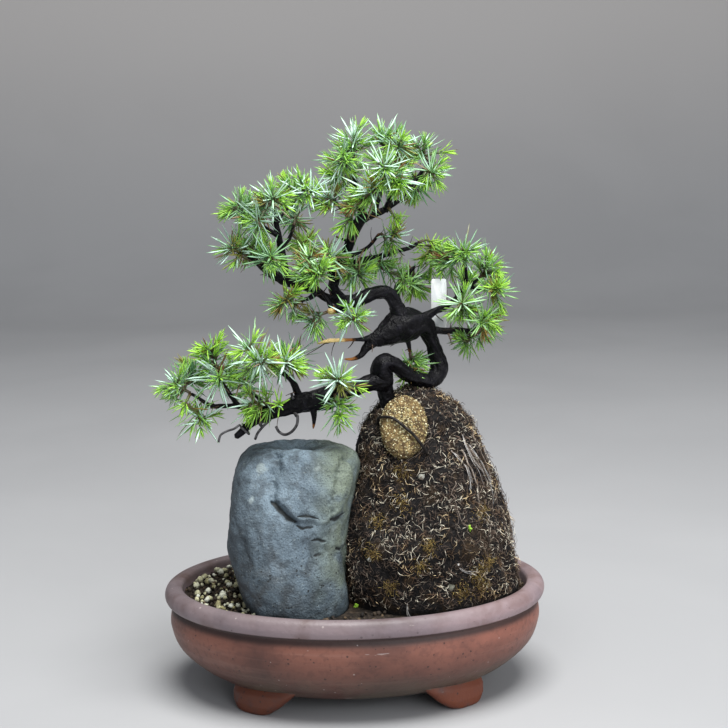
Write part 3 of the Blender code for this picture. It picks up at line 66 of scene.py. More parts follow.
# Wood: each limb is a route of points with the radius there, in tenths of a millimetre
LIMBS: dict[str, Rows] = {
    "stem": (
        (205, -110, 1500, 58), (195, -120, 1560, 50), (186, -122, 1620, 42), (170, -130, 1683, 46),
        (160, -140, 1750, 60), (155, -150, 1800, 58), (180, -150, 1828, 50), (222, -140, 1812, 44),
        (275, -120, 1768, 40), (343, -80, 1722, 37), (411, -40, 1703, 37), (458, 0, 1722, 41),
        (477, 20, 1775, 44), (461, 20, 1849, 42), (432, 0, 1929, 42), (395, -20, 2000, 60),
        (335, -40, 2015, 78), (266, -60, 2006, 92), (200, -90, 1974, 70), (133, -120, 1950, 42),
        (90, -140, 1944, 26)),
    "dead_spike_upper": (
        (110, -130, 1952, 20), (47, -150, 1951, 10), (-17, -160, 1951, 8), (-81, -170, 1952, 10),
        (-134, -180, 1951, 10), (-187, -180, 1936, 4)),
    "dead_spike_lower": (
        (106, -130, 1938, 26), (73, -150, 1905, 20), (45, -170, 1871, 15), (2, -180, 1852, 10),
        (-46, -190, 1854, 4)),
    "arm": (
        (283, -60, 2027, 50), (251, -60, 2087, 38), (219, -70, 2154, 36), (187, -80, 2190, 37),
        (127, -100, 2191, 35), (46, -130, 2164, 34), (-35, -150, 2136, 29), (-99, -160, 2112, 20),
        (-130, -170, 2103, 12)),
    "upper_stem": (
        (-2, -130, 2149, 30), (-53, -80, 2155, 30), (-83, -20, 2192, 29), (-86, 20, 2242, 27),
        (-69, 40, 2304, 26), (-30, 40, 2373, 26), (3, 20, 2449, 26), (36, 0, 2530, 27), (68, -10, 2578, 26),
        (131, -30, 2604, 21), (200, -40, 2630, 16)),
    "crown_left": (
        (70, -10, 2580, 20), (60, -30, 2660, 16), (40, -50, 2750, 14), (25, -45, 2840, 11),
        (30, -20, 2910, 9)),
    "crown_front": (
        (200, -40, 2630, 14), (215, -90, 2700, 12), (200, -130, 2760, 10)),
    "crown_top": (
        (200, -40, 2630, 15), (230, -20, 2740, 13), (230, 20, 2830, 11), (205, 30, 2920, 9)),
    "crown_right": (
        (190, -40, 2625, 15), (270, -30, 2680, 13), (330, -20, 2750, 12), (390, 0, 2820, 10),
        (440, 10, 2870, 8)),
    "crown_back": (
        (130, -30, 2604, 16), (160, 70, 2670, 13), (190, 150, 2750, 11), (220, 200, 2810, 9)),
    "crown_back_left": (
        (60, -30, 2660, 13), (35, 80, 2720, 11), (20, 170, 2790, 9)),
    "crown_low_left": (
        (36, 0, 2530, 15), (-10, -20, 2600, 12), (-45, -40, 2640, 9)),
    "middle_right": (
        (-50, 40, 2336, 20), (13, 50, 2339, 17), (74, 70, 2353, 16), (151, 90, 2366, 15),
        (245, 120, 2389, 13), (329, 140, 2407, 11), (380, 150, 2435, 9)),
    "dead_twig": (
        (-30, 40, 2373, 16), (19, 45, 2385, 13), (74, 60, 2405, 11), (119, 80, 2437, 10),
        (169, 90, 2495, 8)),
    "thin_stub": (
        (-86, 20, 2225, 15), (-113, 0, 2298, 11), (-122, -20, 2375, 9), (-130, -30, 2430, 6)),
    "left_limb": (
        (-55, -80, 2155, 28), (-127, -60, 2165, 24), (-180, -60, 2203, 25), (-248, -70, 2243, 31),
        (-316, -80, 2261, 34), (-379, -90, 2285, 28), (-441, -100, 2324, 21), (-492, -110, 2368, 15),
        (-540, -120, 2400, 10)),
    "left_riser": (
        (-345, -80, 2270, 26), (-351, -70, 2346, 19), (-365, -70, 2426, 18), (-374, -80, 2500, 16),
        (-388, -90, 2575, 13), (-396, -100, 2630, 9)),
    "riser_left": (
        (-374, -80, 2500, 12), (-450, -110, 2550, 10), (-510, -130, 2600, 8)),
    "riser_right": (
        (-388, -90, 2570, 12), (-330, -60, 2640, 10), (-260, -35, 2680, 8)),
    "riser_back": (
        (-365, -70, 2430, 13), (-320, 50, 2480, 10), (-295, 150, 2540, 8)),
    "left_back": (
        (-250, -70, 2240, 16), (-250, 60, 2290, 13), (-240, 160, 2335, 10), (-225, 220, 2360, 8)),
    "left_under": (
        (-180, -60, 2200, 15), (-220, -100, 2170, 12), (-275, -135, 2160, 9)),
    "arm_twig": (
        (-100, -160, 2116, 12), (-140, -155, 2185, 9), (-180, -165, 2225, 7)),
    "right_limb": (
        (395, -20, 2040, 24), (456, 10, 2075, 18), (514, 40, 2092, 16), (570, 60, 2126, 14),
        (628, 80, 2178, 12), (667, 85, 2209, 10), (705, 80, 2240, 8)),
    "right_rise": (
        (620, 80, 2170, 11), (635, 78, 2243, 9), (630, 70, 2310, 7)),
    "right_low_limb": (
        (420, 0, 1973, 22), (511, 20, 1963, 18), (577, 30, 1966, 16), (643, 30, 1962, 12),
        (690, 25, 1975, 8)),
    "right_out": (
        (560, 56, 2120, 12), (630, 40, 2090, 10), (700, 10, 2062, 8)),
    "right_middle": (
        (650, 83, 2193, 11), (695, 40, 2190, 9), (725, 5, 2185, 7)),
    "right_back": (
        (575, 62, 2130, 12), (595, 140, 2145, 10), (625, 210, 2165, 8)),
    "back_limb": (
        (248, -40, 2100, 30), (249, 60, 2149, 22), (266, 140, 2201, 17), (315, 200, 2249, 13),
        (369, 240, 2299, 10)),
    "low_limb": (
        (177, -140, 1715, 52), (106, -170, 1722, 46), (30, -200, 1708, 42), (-50, -220, 1683, 48),
        (-130, -230, 1660, 58), (-214, -230, 1643, 50), (-288, -230, 1628, 45), (-362, -230, 1605, 38),
        (-447, -240, 1578, 33), (-521, -250, 1545, 25), (-579, -260, 1500, 19), (-627, -270, 1461, 15)),
    "low_spike": (
        (-214, -240, 1630, 20), (-210, -250, 1560, 12), (-216, -250, 1495, 5)),
    "low_twig": (
        (-370, -230, 1607, 24), (-458, -200, 1600, 19), (-543, -180, 1595, 17), (-617, -170, 1612, 15),
        (-691, -160, 1612, 13), (-755, -160, 1615, 12), (-810, -155, 1650, 10), (-860, -160, 1685, 8)),
    "low_twig_rise": (
        (-610, -170, 1610, 13), (-655, -160, 1680, 10), (-690, -150, 1740, 8), (-710, -145, 1800, 7)),
    "low_back": (
        (-450, -240, 1578, 16), (-490, -100, 1620, 12), (-540, 10, 1650, 9)),
    "low_riser": (
        (-277, -220, 1640, 22), (-302, -220, 1710, 17), (-337, -240, 1768, 14), (-399, -260, 1815, 11),
        (-450, -280, 1836, 8)),
    "front_shoot": (
        (-110, -240, 1665, 18), (-102, -310, 1710, 13), (-94, -350, 1740, 10)),
    "loop_twig": (
        (301, -30, 1950, 16), (312, -15, 1890, 11), (318, 0, 1850, 8)),
    "broken_twig": (
        (12, 30, 2450, 10), (-50, 10, 2478, 6), (-80, 0, 2490, 5)),
}

# Training wires on the lower limb: place along it from 0 to 1, wire radius in metres, and the points of
# the tail in tenths of a millimetre
WIRES: dict[str, tuple[float, float, Rows]] = {
    "training_wire_hook": (0.60, 0.00075, (
        (-297, -300, 1577), (-301, -295, 1530), (-328, -285, 1491), (-365, -275, 1473), (-396, -265, 1488),
        (-411, -255, 1515))),
    "training_wire_tail": (0.93, 0.00060, (
        (-600, -300, 1535), (-626, -310, 1519), (-667, -310, 1506), (-699, -310, 1486), (-711, -310, 1449))),
    "training_wire_coil": (0.83, 0.00070, (
        (-440, -300, 1560), (-475, -315, 1530), (-505, -320, 1495), (-520, -310, 1460))),
}


class Growth(Enum):
    """Kinds of rosette."""

    OPEN = "long needles spread wide"
    PALE = "long needles spread wide that show their whitish side"
    TUFT = "short new needles held together"


OPEN, PALE, TUFT = Growth

# Sprays: each lists its rosettes, placed in millimetres
SPRAYS: dict[str, tuple[tuple[Growth, int, int, int], ...]] = {
    "spray_crown_face": ((PALE, 17, -27, 287), (PALE, 27, -22, 278)),
    "spray_crown_low": ((PALE, 9, -24, 273), (OPEN, -1, -13, 257)),
    "spray_crown_tip": ((PALE, 18, 0, 301), (OPEN, 27, -10, 295)),
    "spray_crown_tip_left": ((PALE, 3, -4, 299), (PALE, -5, -9, 287)),
    "spray_crown_tip_right": ((OPEN, 37, 6, 296), (TUFT, 53, 2, 292)),
    "spray_crown_right": ((OPEN, 44, -11, 282),),
    "spray_crown_right_low": ((OPEN, 38, 7, 273),),
    "spray_crown_back_left": ((OPEN, 2, 29, 289), (OPEN, -6, 15, 279)),
    "spray_crown_back_right": ((PALE, 27, 28, 289), (OPEN, 18, 27, 272)),
    "spray_crown_left_low": ((PALE, -10, -8, 269),),
    "spray_crown_inner": ((TUFT, 24, -13, 258),),
    "spray_upper_left_front": ((PALE, -40, -20, 271), (PALE, -49, -24, 256)),
    "spray_upper_left_outer": ((OPEN, -59, -16, 267),),
    "spray_upper_left_right": ((OPEN, -29, 2, 273), (PALE, -18, -8, 273)),
    "spray_upper_left_back": ((PALE, -29, 26, 262),),
    "spray_upper_left_inner": ((OPEN, -49, 4, 262),),
    "spray_middle_left_outer": ((PALE, -59, -15, 243), (OPEN, -50, 3, 244)),
    "spray_middle_left_front": ((OPEN, -41, -24, 241),),
    "spray_middle_left_back": ((TUFT, -27, 10, 246), (OPEN, -22, 34, 239)),
    "spray_middle_front": ((OPEN, -22, -22, 241), (OPEN, -16, -26, 231)),
    "spray_middle_inner": ((PALE, -10, -14, 238),),
    "spray_middle_left_under": ((OPEN, -37, -22, 217), (TUFT, -28, -26, 223)),
    "spray_arm_under": ((OPEN, -22, -21, 206),),
    "spray_centre_left": ((OPEN, 5, -4, 229),),
    "spray_centre_back": ((OPEN, 16, 18, 228), (OPEN, 34, 12, 221)),
    "spray_centre_right": ((TUFT, 44, 18, 243), (OPEN, 47, 30, 231)),
    "spray_centre_far_back": ((OPEN, 38, 34, 217),),
    "spray_centre_top": ((PALE, 26, 4, 248),),
    "spray_arm_front": ((PALE, 1, -24, 206),),
    "spray_right_rise": ((OPEN, 62, 4, 240), (OPEN, 53, 12, 232)),
    "spray_right_tip": ((OPEN, 75, 10, 232), (TUFT, 79, -3, 228)),
    "spray_right_middle": ((OPEN, 78, -5, 218),),
    "spray_right_back": ((OPEN, 69, 30, 221),),
    "spray_right_out": ((TUFT, 80, -2, 206), (OPEN, 69, -13, 202)),
    "spray_right_front": ((OPEN, 59, -11, 213),),
    "spray_right_low": ((OPEN, 77, 7, 196), (OPEN, 62, 4, 188)),
    "spray_low_riser_front": ((PALE, -55, -32, 195), (PALE, -47, -40, 187)),
    "spray_low_riser_inner": ((PALE, -36, -32, 186), (OPEN, -29, -12, 187)),
    "spray_front": ((PALE, -9, -43, 179), (TUFT, 3, -34, 172)),
    "spray_low_under": ((OPEN, -8, -37, 158),),
    "spray_low_front": ((TUFT, -39, -37, 166), (PALE, -55, -31, 165)),
    "spray_low_back": ((OPEN, -59, 14, 169), (PALE, -67, 0, 177)),
    "spray_low_left_rise": ((OPEN, -75, -14, 191), (PALE, -70, -27, 175)),
    "spray_low_tip": ((PALE, -93, -18, 174), (OPEN, -84, -5, 178)),
    "spray_low_tip_under": ((TUFT, -89, -24, 163), (PALE, -78, -18, 152)),
    "spray_loop": ((OPEN, 32, 0, 180),),
}


def tenths(rows: Rows) -> Array:
    """Rows of whole tenths of a millimetre, in metres."""
    return np.array(rows) / TENTHS_IN_METRE


def grey(value: float) -> Colour:
    """Colour without hue."""
    return value, value, value


# Surfaces


def note_numbers(mesh: Mesh, values: dict[str, Array]) -> None:
    """Give a mesh one number attribute for each entry."""
    for title, numbers in values.items():
        attribute = mesh.attributes.new(title, "FLOAT", "POINT")
        attribute.data.foreach_set("value", numbers.astype(np.float32).ravel())


@dataclass
class Surface:
    """Points, faces in groups of equal size, and named numbers at the points."""

    points: Array
    faces: list[Array]
    values: dict[str, Array] = field(default_factory=dict)

    def mesh(self, name: str) -> Mesh:
        """Put the surface into a smooth mesh.

        Args:
            name: Name of the mesh.

        Returns:
            The mesh, with one number attribute for each entry of values.
        """
        mesh = bpy.data.meshes.new(name)
        mesh.vertices.add(len(self.points))
        mesh.vertices.foreach_set("co", self.points.astype(np.float32).ravel())
        corners = np.concatenate([group.ravel() for group in self.faces])
        sizes = np.concatenate([np.full(len(group), group.shape[1]) for group in self.faces])
        mesh.loops.add(len(corners))
        mesh.loops.foreach_set("vertex_index", corners.astype(np.int32))
        mesh.polygons.add(len(sizes))
        mesh.polygons.foreach_set("loop_start", (np.cumsum(sizes) - sizes).astype(np.int32))
        mesh.update(calc_edges=True)
        note_numbers(mesh, self.values)
        mesh.shade_smooth()
        return mesh


def joined(surfaces: list[Surface]) -> Surface:
    """Lay several surfaces side by side in one.

    Args:
        surfaces: Surfaces with the same names in values.

    Returns:
        One surface that holds them all.
    """
    starts = np.cumsum([0] + [len(surface.points) for surface in surfaces[:-1]])
    faces = [group + start for surface, start in zip(surfaces, starts) for group in surface.faces]
    values = {
        title: np.concatenate([surface.values[title].ravel() for surface in surfaces])
        for title in surfaces[0].values}
    return Surface(np.concatenate([surface.points for surface in surfaces]), faces, values)


def unit(vectors: Array) -> Array:
    """Vectors of length one with the same directions."""
    return vectors / np.maximum(np.linalg.norm(vectors, axis=-1, keepdims=True), 1e-12)


def dots(first: Array, second: Array) -> Array:
    """Scalar products row by row."""
    return np.einsum("ij,ij->i", first, second)


def circle(sides: int) -> Array:
    """Corners of a round ring of radius one."""
    turn = np.arange(sides) / sides * math.tau
    return np.stack((np.cos(turn), np.sin(turn)), axis=1)


def tube_faces(count: int, steps: int, sides: int) -> list[Array]:
    """Walls and flat ends of many tubes whose points are stored ring by ring."""
    index = np.arange(count * steps * sides).reshape(count, steps, sides)
    after = np.roll(index, -1, axis=2)
    walls = np.stack((index[:, :-1], after[:, :-1], after[:, 1:], index[:, 1:]), axis=-1).reshape(-1, 4)
    return [walls, np.concatenate((index[:, 0, ::-1], index[:, -1]))]


def lofted(rings: Array, values: dict[str, Array] | None = None) -> Surface:
    """Closed skin over a stack of rings, with a fan to a middle point at each end.

    Args:
        rings: Levels by sides by three. Each ring turns left about the way to the next.
        values: Numbers for each point of the rings.

    Returns:
        The skin. A pole takes the mean of its ring's numbers.
    """
    levels, sides = rings.shape[:2]
    index = np.arange(levels * sides).reshape(levels, sides)
    after = np.roll(index, -1, axis=1)
    walls = np.stack((index[:-1], after[:-1], after[1:], index[1:]), axis=-1).reshape(-1, 4)
    poles = np.full(sides, levels * sides)
    fans = np.concatenate((
        np.stack((after[0], index[0], poles), axis=-1),
        np.stack((index[-1], after[-1], poles + 1), axis=-1)))
    points = np.concatenate((rings.reshape(-1, 3), rings[0].mean(0)[None], rings[-1].mean(0)[None]))
    kept = {
        title: np.concatenate((numbers.ravel(), [numbers[0].mean(), numbers[-1].mean()]))
        for title, numbers in (values or {}).items()}
    return Surface(points, [walls, fans], kept)


def strands(paths: Array, radii: Array | float, sides: int, **values: Array | float) -> Surface:
    """Closed tubes along many paths at once.

    A ring is its path point plus radius times (cos(a) * across + sin(a) * second). Across is the cross
    product of the path's direction and the world axis that the strand's chord leans to least.

    Args:
        paths: Strands by steps by three.
        radii: Strands by steps, or what spreads to that.
        sides: Corners of each ring.
        values: Numbers for each step of each strand, or what spreads to that.

    Returns:
        All the tubes as one surface.
    """
    along = unit(np.gradient(paths, axis=1))
    helper = np.eye(3)[np.argmin(np.abs(paths[:, -1] - paths[:, 0]), axis=1)]
    across = unit(np.cross(along, helper[:, None]))
    second = np.cross(along, across)
    ring = circle(sides)
    spokes = across[:, :, None] * ring[:, :1] + second[:, :, None] * ring[:, 1:]
    radii = np.broadcast_to(radii, paths.shape[:2])
    rings = paths[:, :, None] + radii[:, :, None, None] * spokes
    kept = {
        title: np.repeat(np.broadcast_to(numbers, radii.shape), sides) for title, numbers in values.items()}
    return Surface(rings.reshape(-1, 3), tube_faces(*paths.shape[:2], sides), kept)


def reached(starts: Array, headings: Array, lengths: Array) -> Array:
    """Points off each start along its heading, one for each of its lengths."""
    return starts[:, None] + lengths[:, :, None] * headings[:, None]


def eased(paths: Array, rounds: int) -> Array:
    """Paths whose inner points are averaged with their neighbours again and again."""
    for _ in range(rounds):
        paths[..., 1:-1, :] = (paths[..., :-2, :] + 2 * paths[..., 1:-1, :] + paths[..., 2:, :]) / 4
    return paths


def smooth_route(points: Array, pitch: float) -> Array:
    """Resample a route with a Catmull-Rom curve.

    Args:
        points: Route by columns, the first three of which are a place.
        pitch: Distance between new points.

    Returns:
        The new route, with the same columns.
    """
    points = np.asarray(points, dtype=float)
    padded = np.vstack((2 * points[0] - points[1], points, 2 * points[-1] - points[-2]))
    route = []
    for index in range(len(points) - 1):
        before, start, end, after = padded[index:index + 4]
        steps = max(1, round(float(np.linalg.norm((end - start)[:3])) / pitch))
        share = (np.arange(steps) / steps)[:, None]
        route.append(0.5 * (
            2 * start + (end - before) * share
            + (2 * before - 5 * start + 4 * end - after) * share ** 2
            + (3 * start - before - 3 * end + after) * share ** 3))
    route.append(points[-1:])
    return np.vstack(route)


def carried_frames(points: Array) -> tuple[Array, Array, Array]:
    """Directions along a path and two across it, carried on from point to point without twist."""
    along = unit(np.gradient(points, axis=0))
    helper = np.array((0.0, 0.0, 1.0)) if abs(along[0, 2]) < 0.8 else np.array((1.0, 0.0, 0.0))
    across = [unit(np.cross(helper, along[0]))]
    for direction in along[1:]:
        across.append(unit(across[-1] - direction * np.dot(across[-1], direction)))
    first = np.array(across)
    return along, first, np.cross(along, first)


def between(places: Array | float, lengths: Array, rows: Array) -> Array:
    """Rows at places between given lengths, in straight stretches."""
    return np.stack([np.interp(places, lengths, column) for column in rows.T], axis=-1)


def lengths_of(points: Array) -> Array:
    """Distance along a path at each of its points."""
    return np.concatenate(((0.0,), np.cumsum(np.linalg.norm(np.diff(points, axis=0), axis=1))))


def value_noise(points: Array, size: float, seed: int) -> Array:
    """Smooth noise from -1 to 1: random corner values of a grid of cells, blended inside each cell.

    Args:
        points: Places.
        size: Width of a cell, one number or one for each axis.
        seed: Picks the pattern.

    Returns:
        One number for each place.
    """
    scaled = points / np.asarray(size) + seed * 17.31
    cell = np.floor(scaled).astype(np.int64)
    share = scaled - cell
    share = share * share * (3.0 - 2.0 * share)
    total = np.zeros(len(points))
    for corner in np.ndindex(2, 2, 2):
        place = cell + np.array(corner)
        mixed = place[:, 0] * 73856093 ^ place[:, 1] * 19349663 ^ place[:, 2] * 83492791 ^ seed * 6972593
        mixed &= 0xFFFFFFFF
        mixed = (mixed ^ (mixed >> 15)) * 1274126177 & 0xFFFFFFFF
        mixed = (mixed ^ (mixed >> 13)) * 668265263 & 0xFFFFFFFF
        value = (mixed >> 12 & 0xFFFF) / 32767.5 - 1.0
        total += value * np.prod(np.where(np.array(corner) == 1, share, 1.0 - share), axis=1)
    return total


def layered_noise(points: Array, size: float, seed: int, layers: int = 3) -> Array:
    """Noise with finer layers on top, each half as wide and half as strong as the one before."""
    return sum(value_noise(points, size / 2 ** layer, seed + layer) / 2 ** layer for layer in range(layers))


def smoothstep(numbers: Array, low: float, high: float) -> Array:
    """Zero below low, one above high and a smooth rise between."""
    share = np.clip((numbers - low) / (high - low), 0.0, 1.0)
    return share * share * (3.0 - 2.0 * share)


def distance_to_line(points: Array, line: Array) -> tuple[Array, Array]:
    """Distance from points to a line of straight stretches, and how far along the line that is.

    Args:
        points: Places with two or three columns.
        line: Corners of the line, with the same columns.

    Returns:
        Distances, and shares of the line's number of stretches.
    """
    starts, steps = line[:-1], np.diff(line, axis=0)
    offset = points[:, None] - starts
    share = np.clip(np.einsum("nij,ij->ni", offset, steps) / dots(steps, steps), 0.0, 1.0)
    gaps = np.linalg.norm(offset - share[:, :, None] * steps, axis=2)
    pick = np.argmin(gaps, axis=1)
    row = np.arange(len(points))
    return gaps[row, pick], (pick + share[row, pick]) / len(starts)


def turned(count: int, draw: Draw) -> Array:
    """Random rotations as matrices, worked out from random quaternions."""
    w, x, y, z = unit(draw.normal(size=(count, 4))).T
    return np.array((
        (1 - 2 * (y * y + z * z), 2 * (x * y - z * w), 2 * (x * z + y * w)),
        (2 * (x * y + z * w), 1 - 2 * (x * x + z * z), 2 * (y * z - x * w)),
        (2 * (x * z - y * w), 2 * (y * z + x * w), 1 - 2 * (x * x + y * y)))).transpose(2, 0, 1)


def lumps(centres: Array, radii: Array, draw: Draw, rough: float = 0.22) -> Surface:
    """Many small rough lumps at once.

    A lump is a ball of three rings of six points with two poles. Each point moves in or out at random,
    and the whole is stretched and turned at random.

    Args:
        centres: Middle of each lump.
        radii: Radius of each lump.
        draw: Source of chance.
        rough: How far a point may move, as a share of the radius.

    Returns:
        All the lumps, with one random tone for each.
    """
    polar = np.repeat(np.radians((45.0, 90.0, 135.0)), 6)
    turn = np.tile(np.arange(6) / 6 * math.tau, 3) + polar
    ball = np.stack((np.sin(polar) * np.cos(turn), np.sin(polar) * np.sin(turn), np.cos(polar)), axis=1)
    ball = np.vstack((ball, (0.0, 0.0, 1.0), (0.0, 0.0, -1.0)))
    count = len(centres)
    shape = ball * draw.uniform(1 - rough, 1 + rough, (count, len(ball), 1))
    shape *= draw.uniform(0.72, 1.22, (count, 1, 3)) * radii[:, None, None]
    points = np.einsum("nij,nkj->nki", turned(count, draw), shape) + centres[:, None]
    ring = np.arange(6)
    after = (ring + 1) % 6
    bands = [np.stack((ring + low, ring + low + 6, after + low + 6, after + low), axis=1) for low in (0, 6)]
    fans = [
        np.stack((ring, after, np.full(6, 18)), axis=1),
        np.stack((after + 12, ring + 12, np.full(6, 19)), axis=1)]
    shift = np.arange(count)[:, None, None] * len(ball)
    faces = [(np.vstack(group) + shift).reshape(-1, group[0].shape[1]) for group in (bands, fans)]
    tone = np.repeat(draw.uniform(0.0, 1.0, count), len(ball))
    return Surface(points.reshape(-1, 3), faces, {"tone": tone})


@dataclass
class Ground:
    """Points of a fine surface with their outward directions, for things that lie on it."""

    points: Array
    normals: Array

    @classmethod
    def of(cls, mesh: Mesh) -> "Ground":
        """Read a mesh's points and normals."""
        points = np.zeros(len(mesh.vertices) * 3, np.float32)
        normals = np.zeros(len(mesh.vertices) * 3, np.float32)
        mesh.vertices.foreach_get("co", points)
        mesh.vertex_normals.foreach_get("vector", normals)
        return cls(points.reshape(-1, 3).astype(float), normals.reshape(-1, 3).astype(float))

    def nearest(self, places: Array) -> Array:
        """Index of the surface point that is nearest to each place, worked out a block at a time."""
        surface = self.points.astype(np.float32)
        squares = dots(surface, surface)
        found = []
        for start in range(0, len(places), PLACES_IN_BLOCK):
            block = places[start:start + PLACES_IN_BLOCK].astype(np.float32)
            found.append(np.argmin(squares - 2.0 * block @ surface.T, axis=1))
        return np.concatenate(found)

    def sunk(self, index: Array, radii: Array) -> Array:
        """Centres of balls that are nearly half sunk in the surface at given points."""
        return self.points[index] - self.normals[index] * radii[:, None] * 0.45

    def settle(self, places: Array, lift: Array) -> Array:
        """Put places on the surface, each lifted off it by its own height."""
        index = self.nearest(places)
        normal = self.normals[index]
        offset = dots(places - self.points[index], normal)
        return places + normal * (lift - offset)[:, None]


def frame_mesh(node: str) -> Mesh:
    """Copy of a frame node's mesh with its loose triangles merged."""
    shape = bmesh.new()
    shape.from_mesh(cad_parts[node].data)
    bmesh.ops.remove_doubles(shape, verts=shape.verts, dist=1e-6)
    bmesh.ops.recalc_face_normals(shape, faces=shape.faces)
    mesh = bpy.data.meshes.new(node + "_copy")
    shape.to_mesh(mesh)
    shape.free()
    return mesh


def linked(name: str, data: bpy.types.ID) -> bpy.types.Object:
    """New object in the scene."""
    item = bpy.data.objects.new(name, data)
    bpy.context.scene.collection.objects.link(item)
    return item


def stand(item: bpy.types.Object, *columns: Array) -> None:
    """Turn and place an object by its three axes and its place."""
    matrix = np.eye(4)
    matrix[:3] = np.stack(columns, axis=1)
    item.matrix_world = Matrix(matrix.tolist())


def refined(mesh: Mesh, kind: str, **settings: object) -> Mesh:
    """Run one modifier over a mesh and return the result.

    Args:
        mesh: Mesh to start from. It is removed afterwards.
        kind: Modifier type.
        settings: Values of the modifier.

    Returns:
        The new mesh.
    """
    holder = linked("holder", mesh)
    modifier = holder.modifiers.new("refine", kind)
    for title, setting in settings.items():
        setattr(modifier, title, setting)
    view = bpy.context.evaluated_depsgraph_get()
    result = bpy.data.meshes.new_from_object(holder.evaluated_get(view))
    bpy.data.objects.remove(holder, do_unlink=True)
    bpy.data.meshes.remove(mesh)
    return result


def place_points(mesh: Mesh, points: Array) -> None:
    """Move a mesh's points to new places."""
    mesh.vertices.foreach_set("co", points.astype(np.float32).ravel())
    mesh.update()
    mesh.shade_smooth()


def add_piece(name: str, form: Surface | Mesh, finish: Material, slot: str, *stands_for: str) -> None:
    """Add one finished piece to the scene.

    Args:
        name: Name of the piece.
        form: Its surface or mesh, in place.
        finish: Its material.
        slot: Name of a material slot. It is not used.
        stands_for: Frame nodes that it replaces.
    """
    mesh = form.mesh(name) if isinstance(form, Surface) else form
    mesh.materials.clear()
    mesh.materials.append(finish)
    item = linked(name, mesh)
    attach(item, "root")
    if stands_for:
        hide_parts(*stands_for)
    LOG.info("%s: %d faces", name, len(mesh.polygons))


def dress_node(node: str, finish: Material) -> None:
    """Give a frame node that stays in view its finish."""
    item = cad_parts[node]
    item.data.materials.clear()
    item.data.materials.append(finish)
    LOG.info("%s: frame node dressed", node)


# Shader building


@dataclass
class Graph:
    """Adds nodes to one node tree and wires them."""

    tree: bpy.types.NodeTree

    def add(self, kind: str, **settings: object) -> Node:
        """New node of a kind, with its settings."""
        node = self.tree.nodes.new(kind)
        for title, setting in settings.items():
            setattr(node, title, setting)
        return node

    def feed(self, socket: Socket, value: object) -> None:
        """Wire a socket to another one, or set its value."""
        if isinstance(value, Socket):
            self.tree.links.new(value, socket)
        elif isinstance(value, tuple) and len(value) == 3 and socket.type == "RGBA":
            socket.default_value = (*value, 1.0)
        else:
            socket.default_value = value

    def fill(self, node: Node, **values: object) -> Node:
        """Wire or set sockets of a node, with spaces for the underscores in their names."""
        for title, value in values.items():
            self.feed(node.inputs[title.replace("_", " ")], value)
        return node

    def place(self) -> Socket:
        """Object coordinates."""
        return self.add("ShaderNodeTexCoord").outputs["Object"]

    def number(self, title: str) -> Socket:
        """Number attribute of the mesh."""
        return self.add("ShaderNodeAttribute", attribute_name=title).outputs["Fac"]

    def axis(self, name: str) -> Socket:
        """One of the three object coordinates."""
        return self.fill(self.add("ShaderNodeSeparateXYZ"), Vector=self.place()).outputs[name]

    def noise(self, scale: object, detail: float = 3.0, where: object = None,
              distortion: float = 0.0) -> Socket:
        """Noise from 0 to 1 on object coordinates."""
        node = self.fill(self.add("ShaderNodeTexNoise"), Vector=where or self.place(), Scale=scale,
                         Detail=detail, Distortion=distortion)
        return node.outputs["Fac"]

    def cells(self, scale: object) -> Node:
        """Voronoi cells on object coordinates."""
        return self.fill(self.add("ShaderNodeTexVoronoi", feature="F1"), Vector=self.place(), Scale=scale)

    def stretch(self, factors: Point) -> Socket:
        """Object coordinates multiplied axis by axis."""
        node = self.fill(self.add("ShaderNodeMapping"), Vector=self.place(), Scale=factors)
        return node.outputs["Vector"]

    def math(self, operation: str, first: object, second: object) -> Socket:
        """Result of one operation on two numbers."""
        node = self.add("ShaderNodeMath", operation=operation)
        self.feed(node.inputs[0], first)
        self.feed(node.inputs[1], second)
        return node.outputs[0]

    def times(self, first: object, second: object) -> Socket:
        """Product of two numbers."""
        return self.math("MULTIPLY", first, second)

    def span(self, value: object, low: float, high: float, start: float = 0.0,
             end: float = 1.0) -> Socket:
        """Smooth change from start to end as value goes from low to high."""
        node = self.fill(self.add("ShaderNodeMapRange", interpolation_type="SMOOTHSTEP"),
                         Value=value, From_Min=low, From_Max=high, To_Min=start, To_Max=end)
        return node.outputs["Result"]

    def mix(self, share: object, first: object, second: object,
            blend: str = "MIX") -> Socket:
        """Mix of two colours."""
        node = self.add("ShaderNodeMix", data_type="RGBA", blend_type=blend)
        self.feed(node.inputs[0], share)
        self.feed(node.inputs[6], first)
        self.feed(node.inputs[7], second)
        return node.outputs[2]

    def tint(self, first: object, second: object) -> Socket:
        """Product of two colours."""
        return self.mix(1.0, first, second, "MULTIPLY")

    def over(self, under: object, mask: object, share: object, upper: object) -> Socket:
        """Colour laid over another where the mask is, at a share of its strength."""
        return self.mix(self.times(mask, share), under, upper)

    def bump(self, height: object, distance: float, strength: float = 1.0,
             base: object = None) -> Socket:
        """Normal that follows a height."""
        node = self.fill(self.add("ShaderNodeBump"), Height=height, Distance=distance, Strength=strength)
        if base is not None:
            self.fill(node, Normal=base)
        return node.outputs["Normal"]


def group_tree(name: str, inputs: tuple[tuple[str, str], ...],
               outputs: tuple[tuple[str, str], ...]) -> tuple[Graph, Node, Node]:
    """Start a shader node group.

    Args:
        name: Name of the group.
        inputs: Name and socket type of each input.
        outputs: Name and socket type of each output.

    Returns:
        Its graph, its input node and its output node.
    """
    tree = bpy.data.node_groups.new(name, "ShaderNodeTree")
    for in_out, sockets in (("INPUT", inputs), ("OUTPUT", outputs)):
        for title, kind in sockets:
            tree.interface.new_socket(name=title, in_out=in_out, socket_type="NodeSocket" + kind)
    graph = Graph(tree)
    return graph, graph.add("NodeGroupInput"), graph.add("NodeGroupOutput")


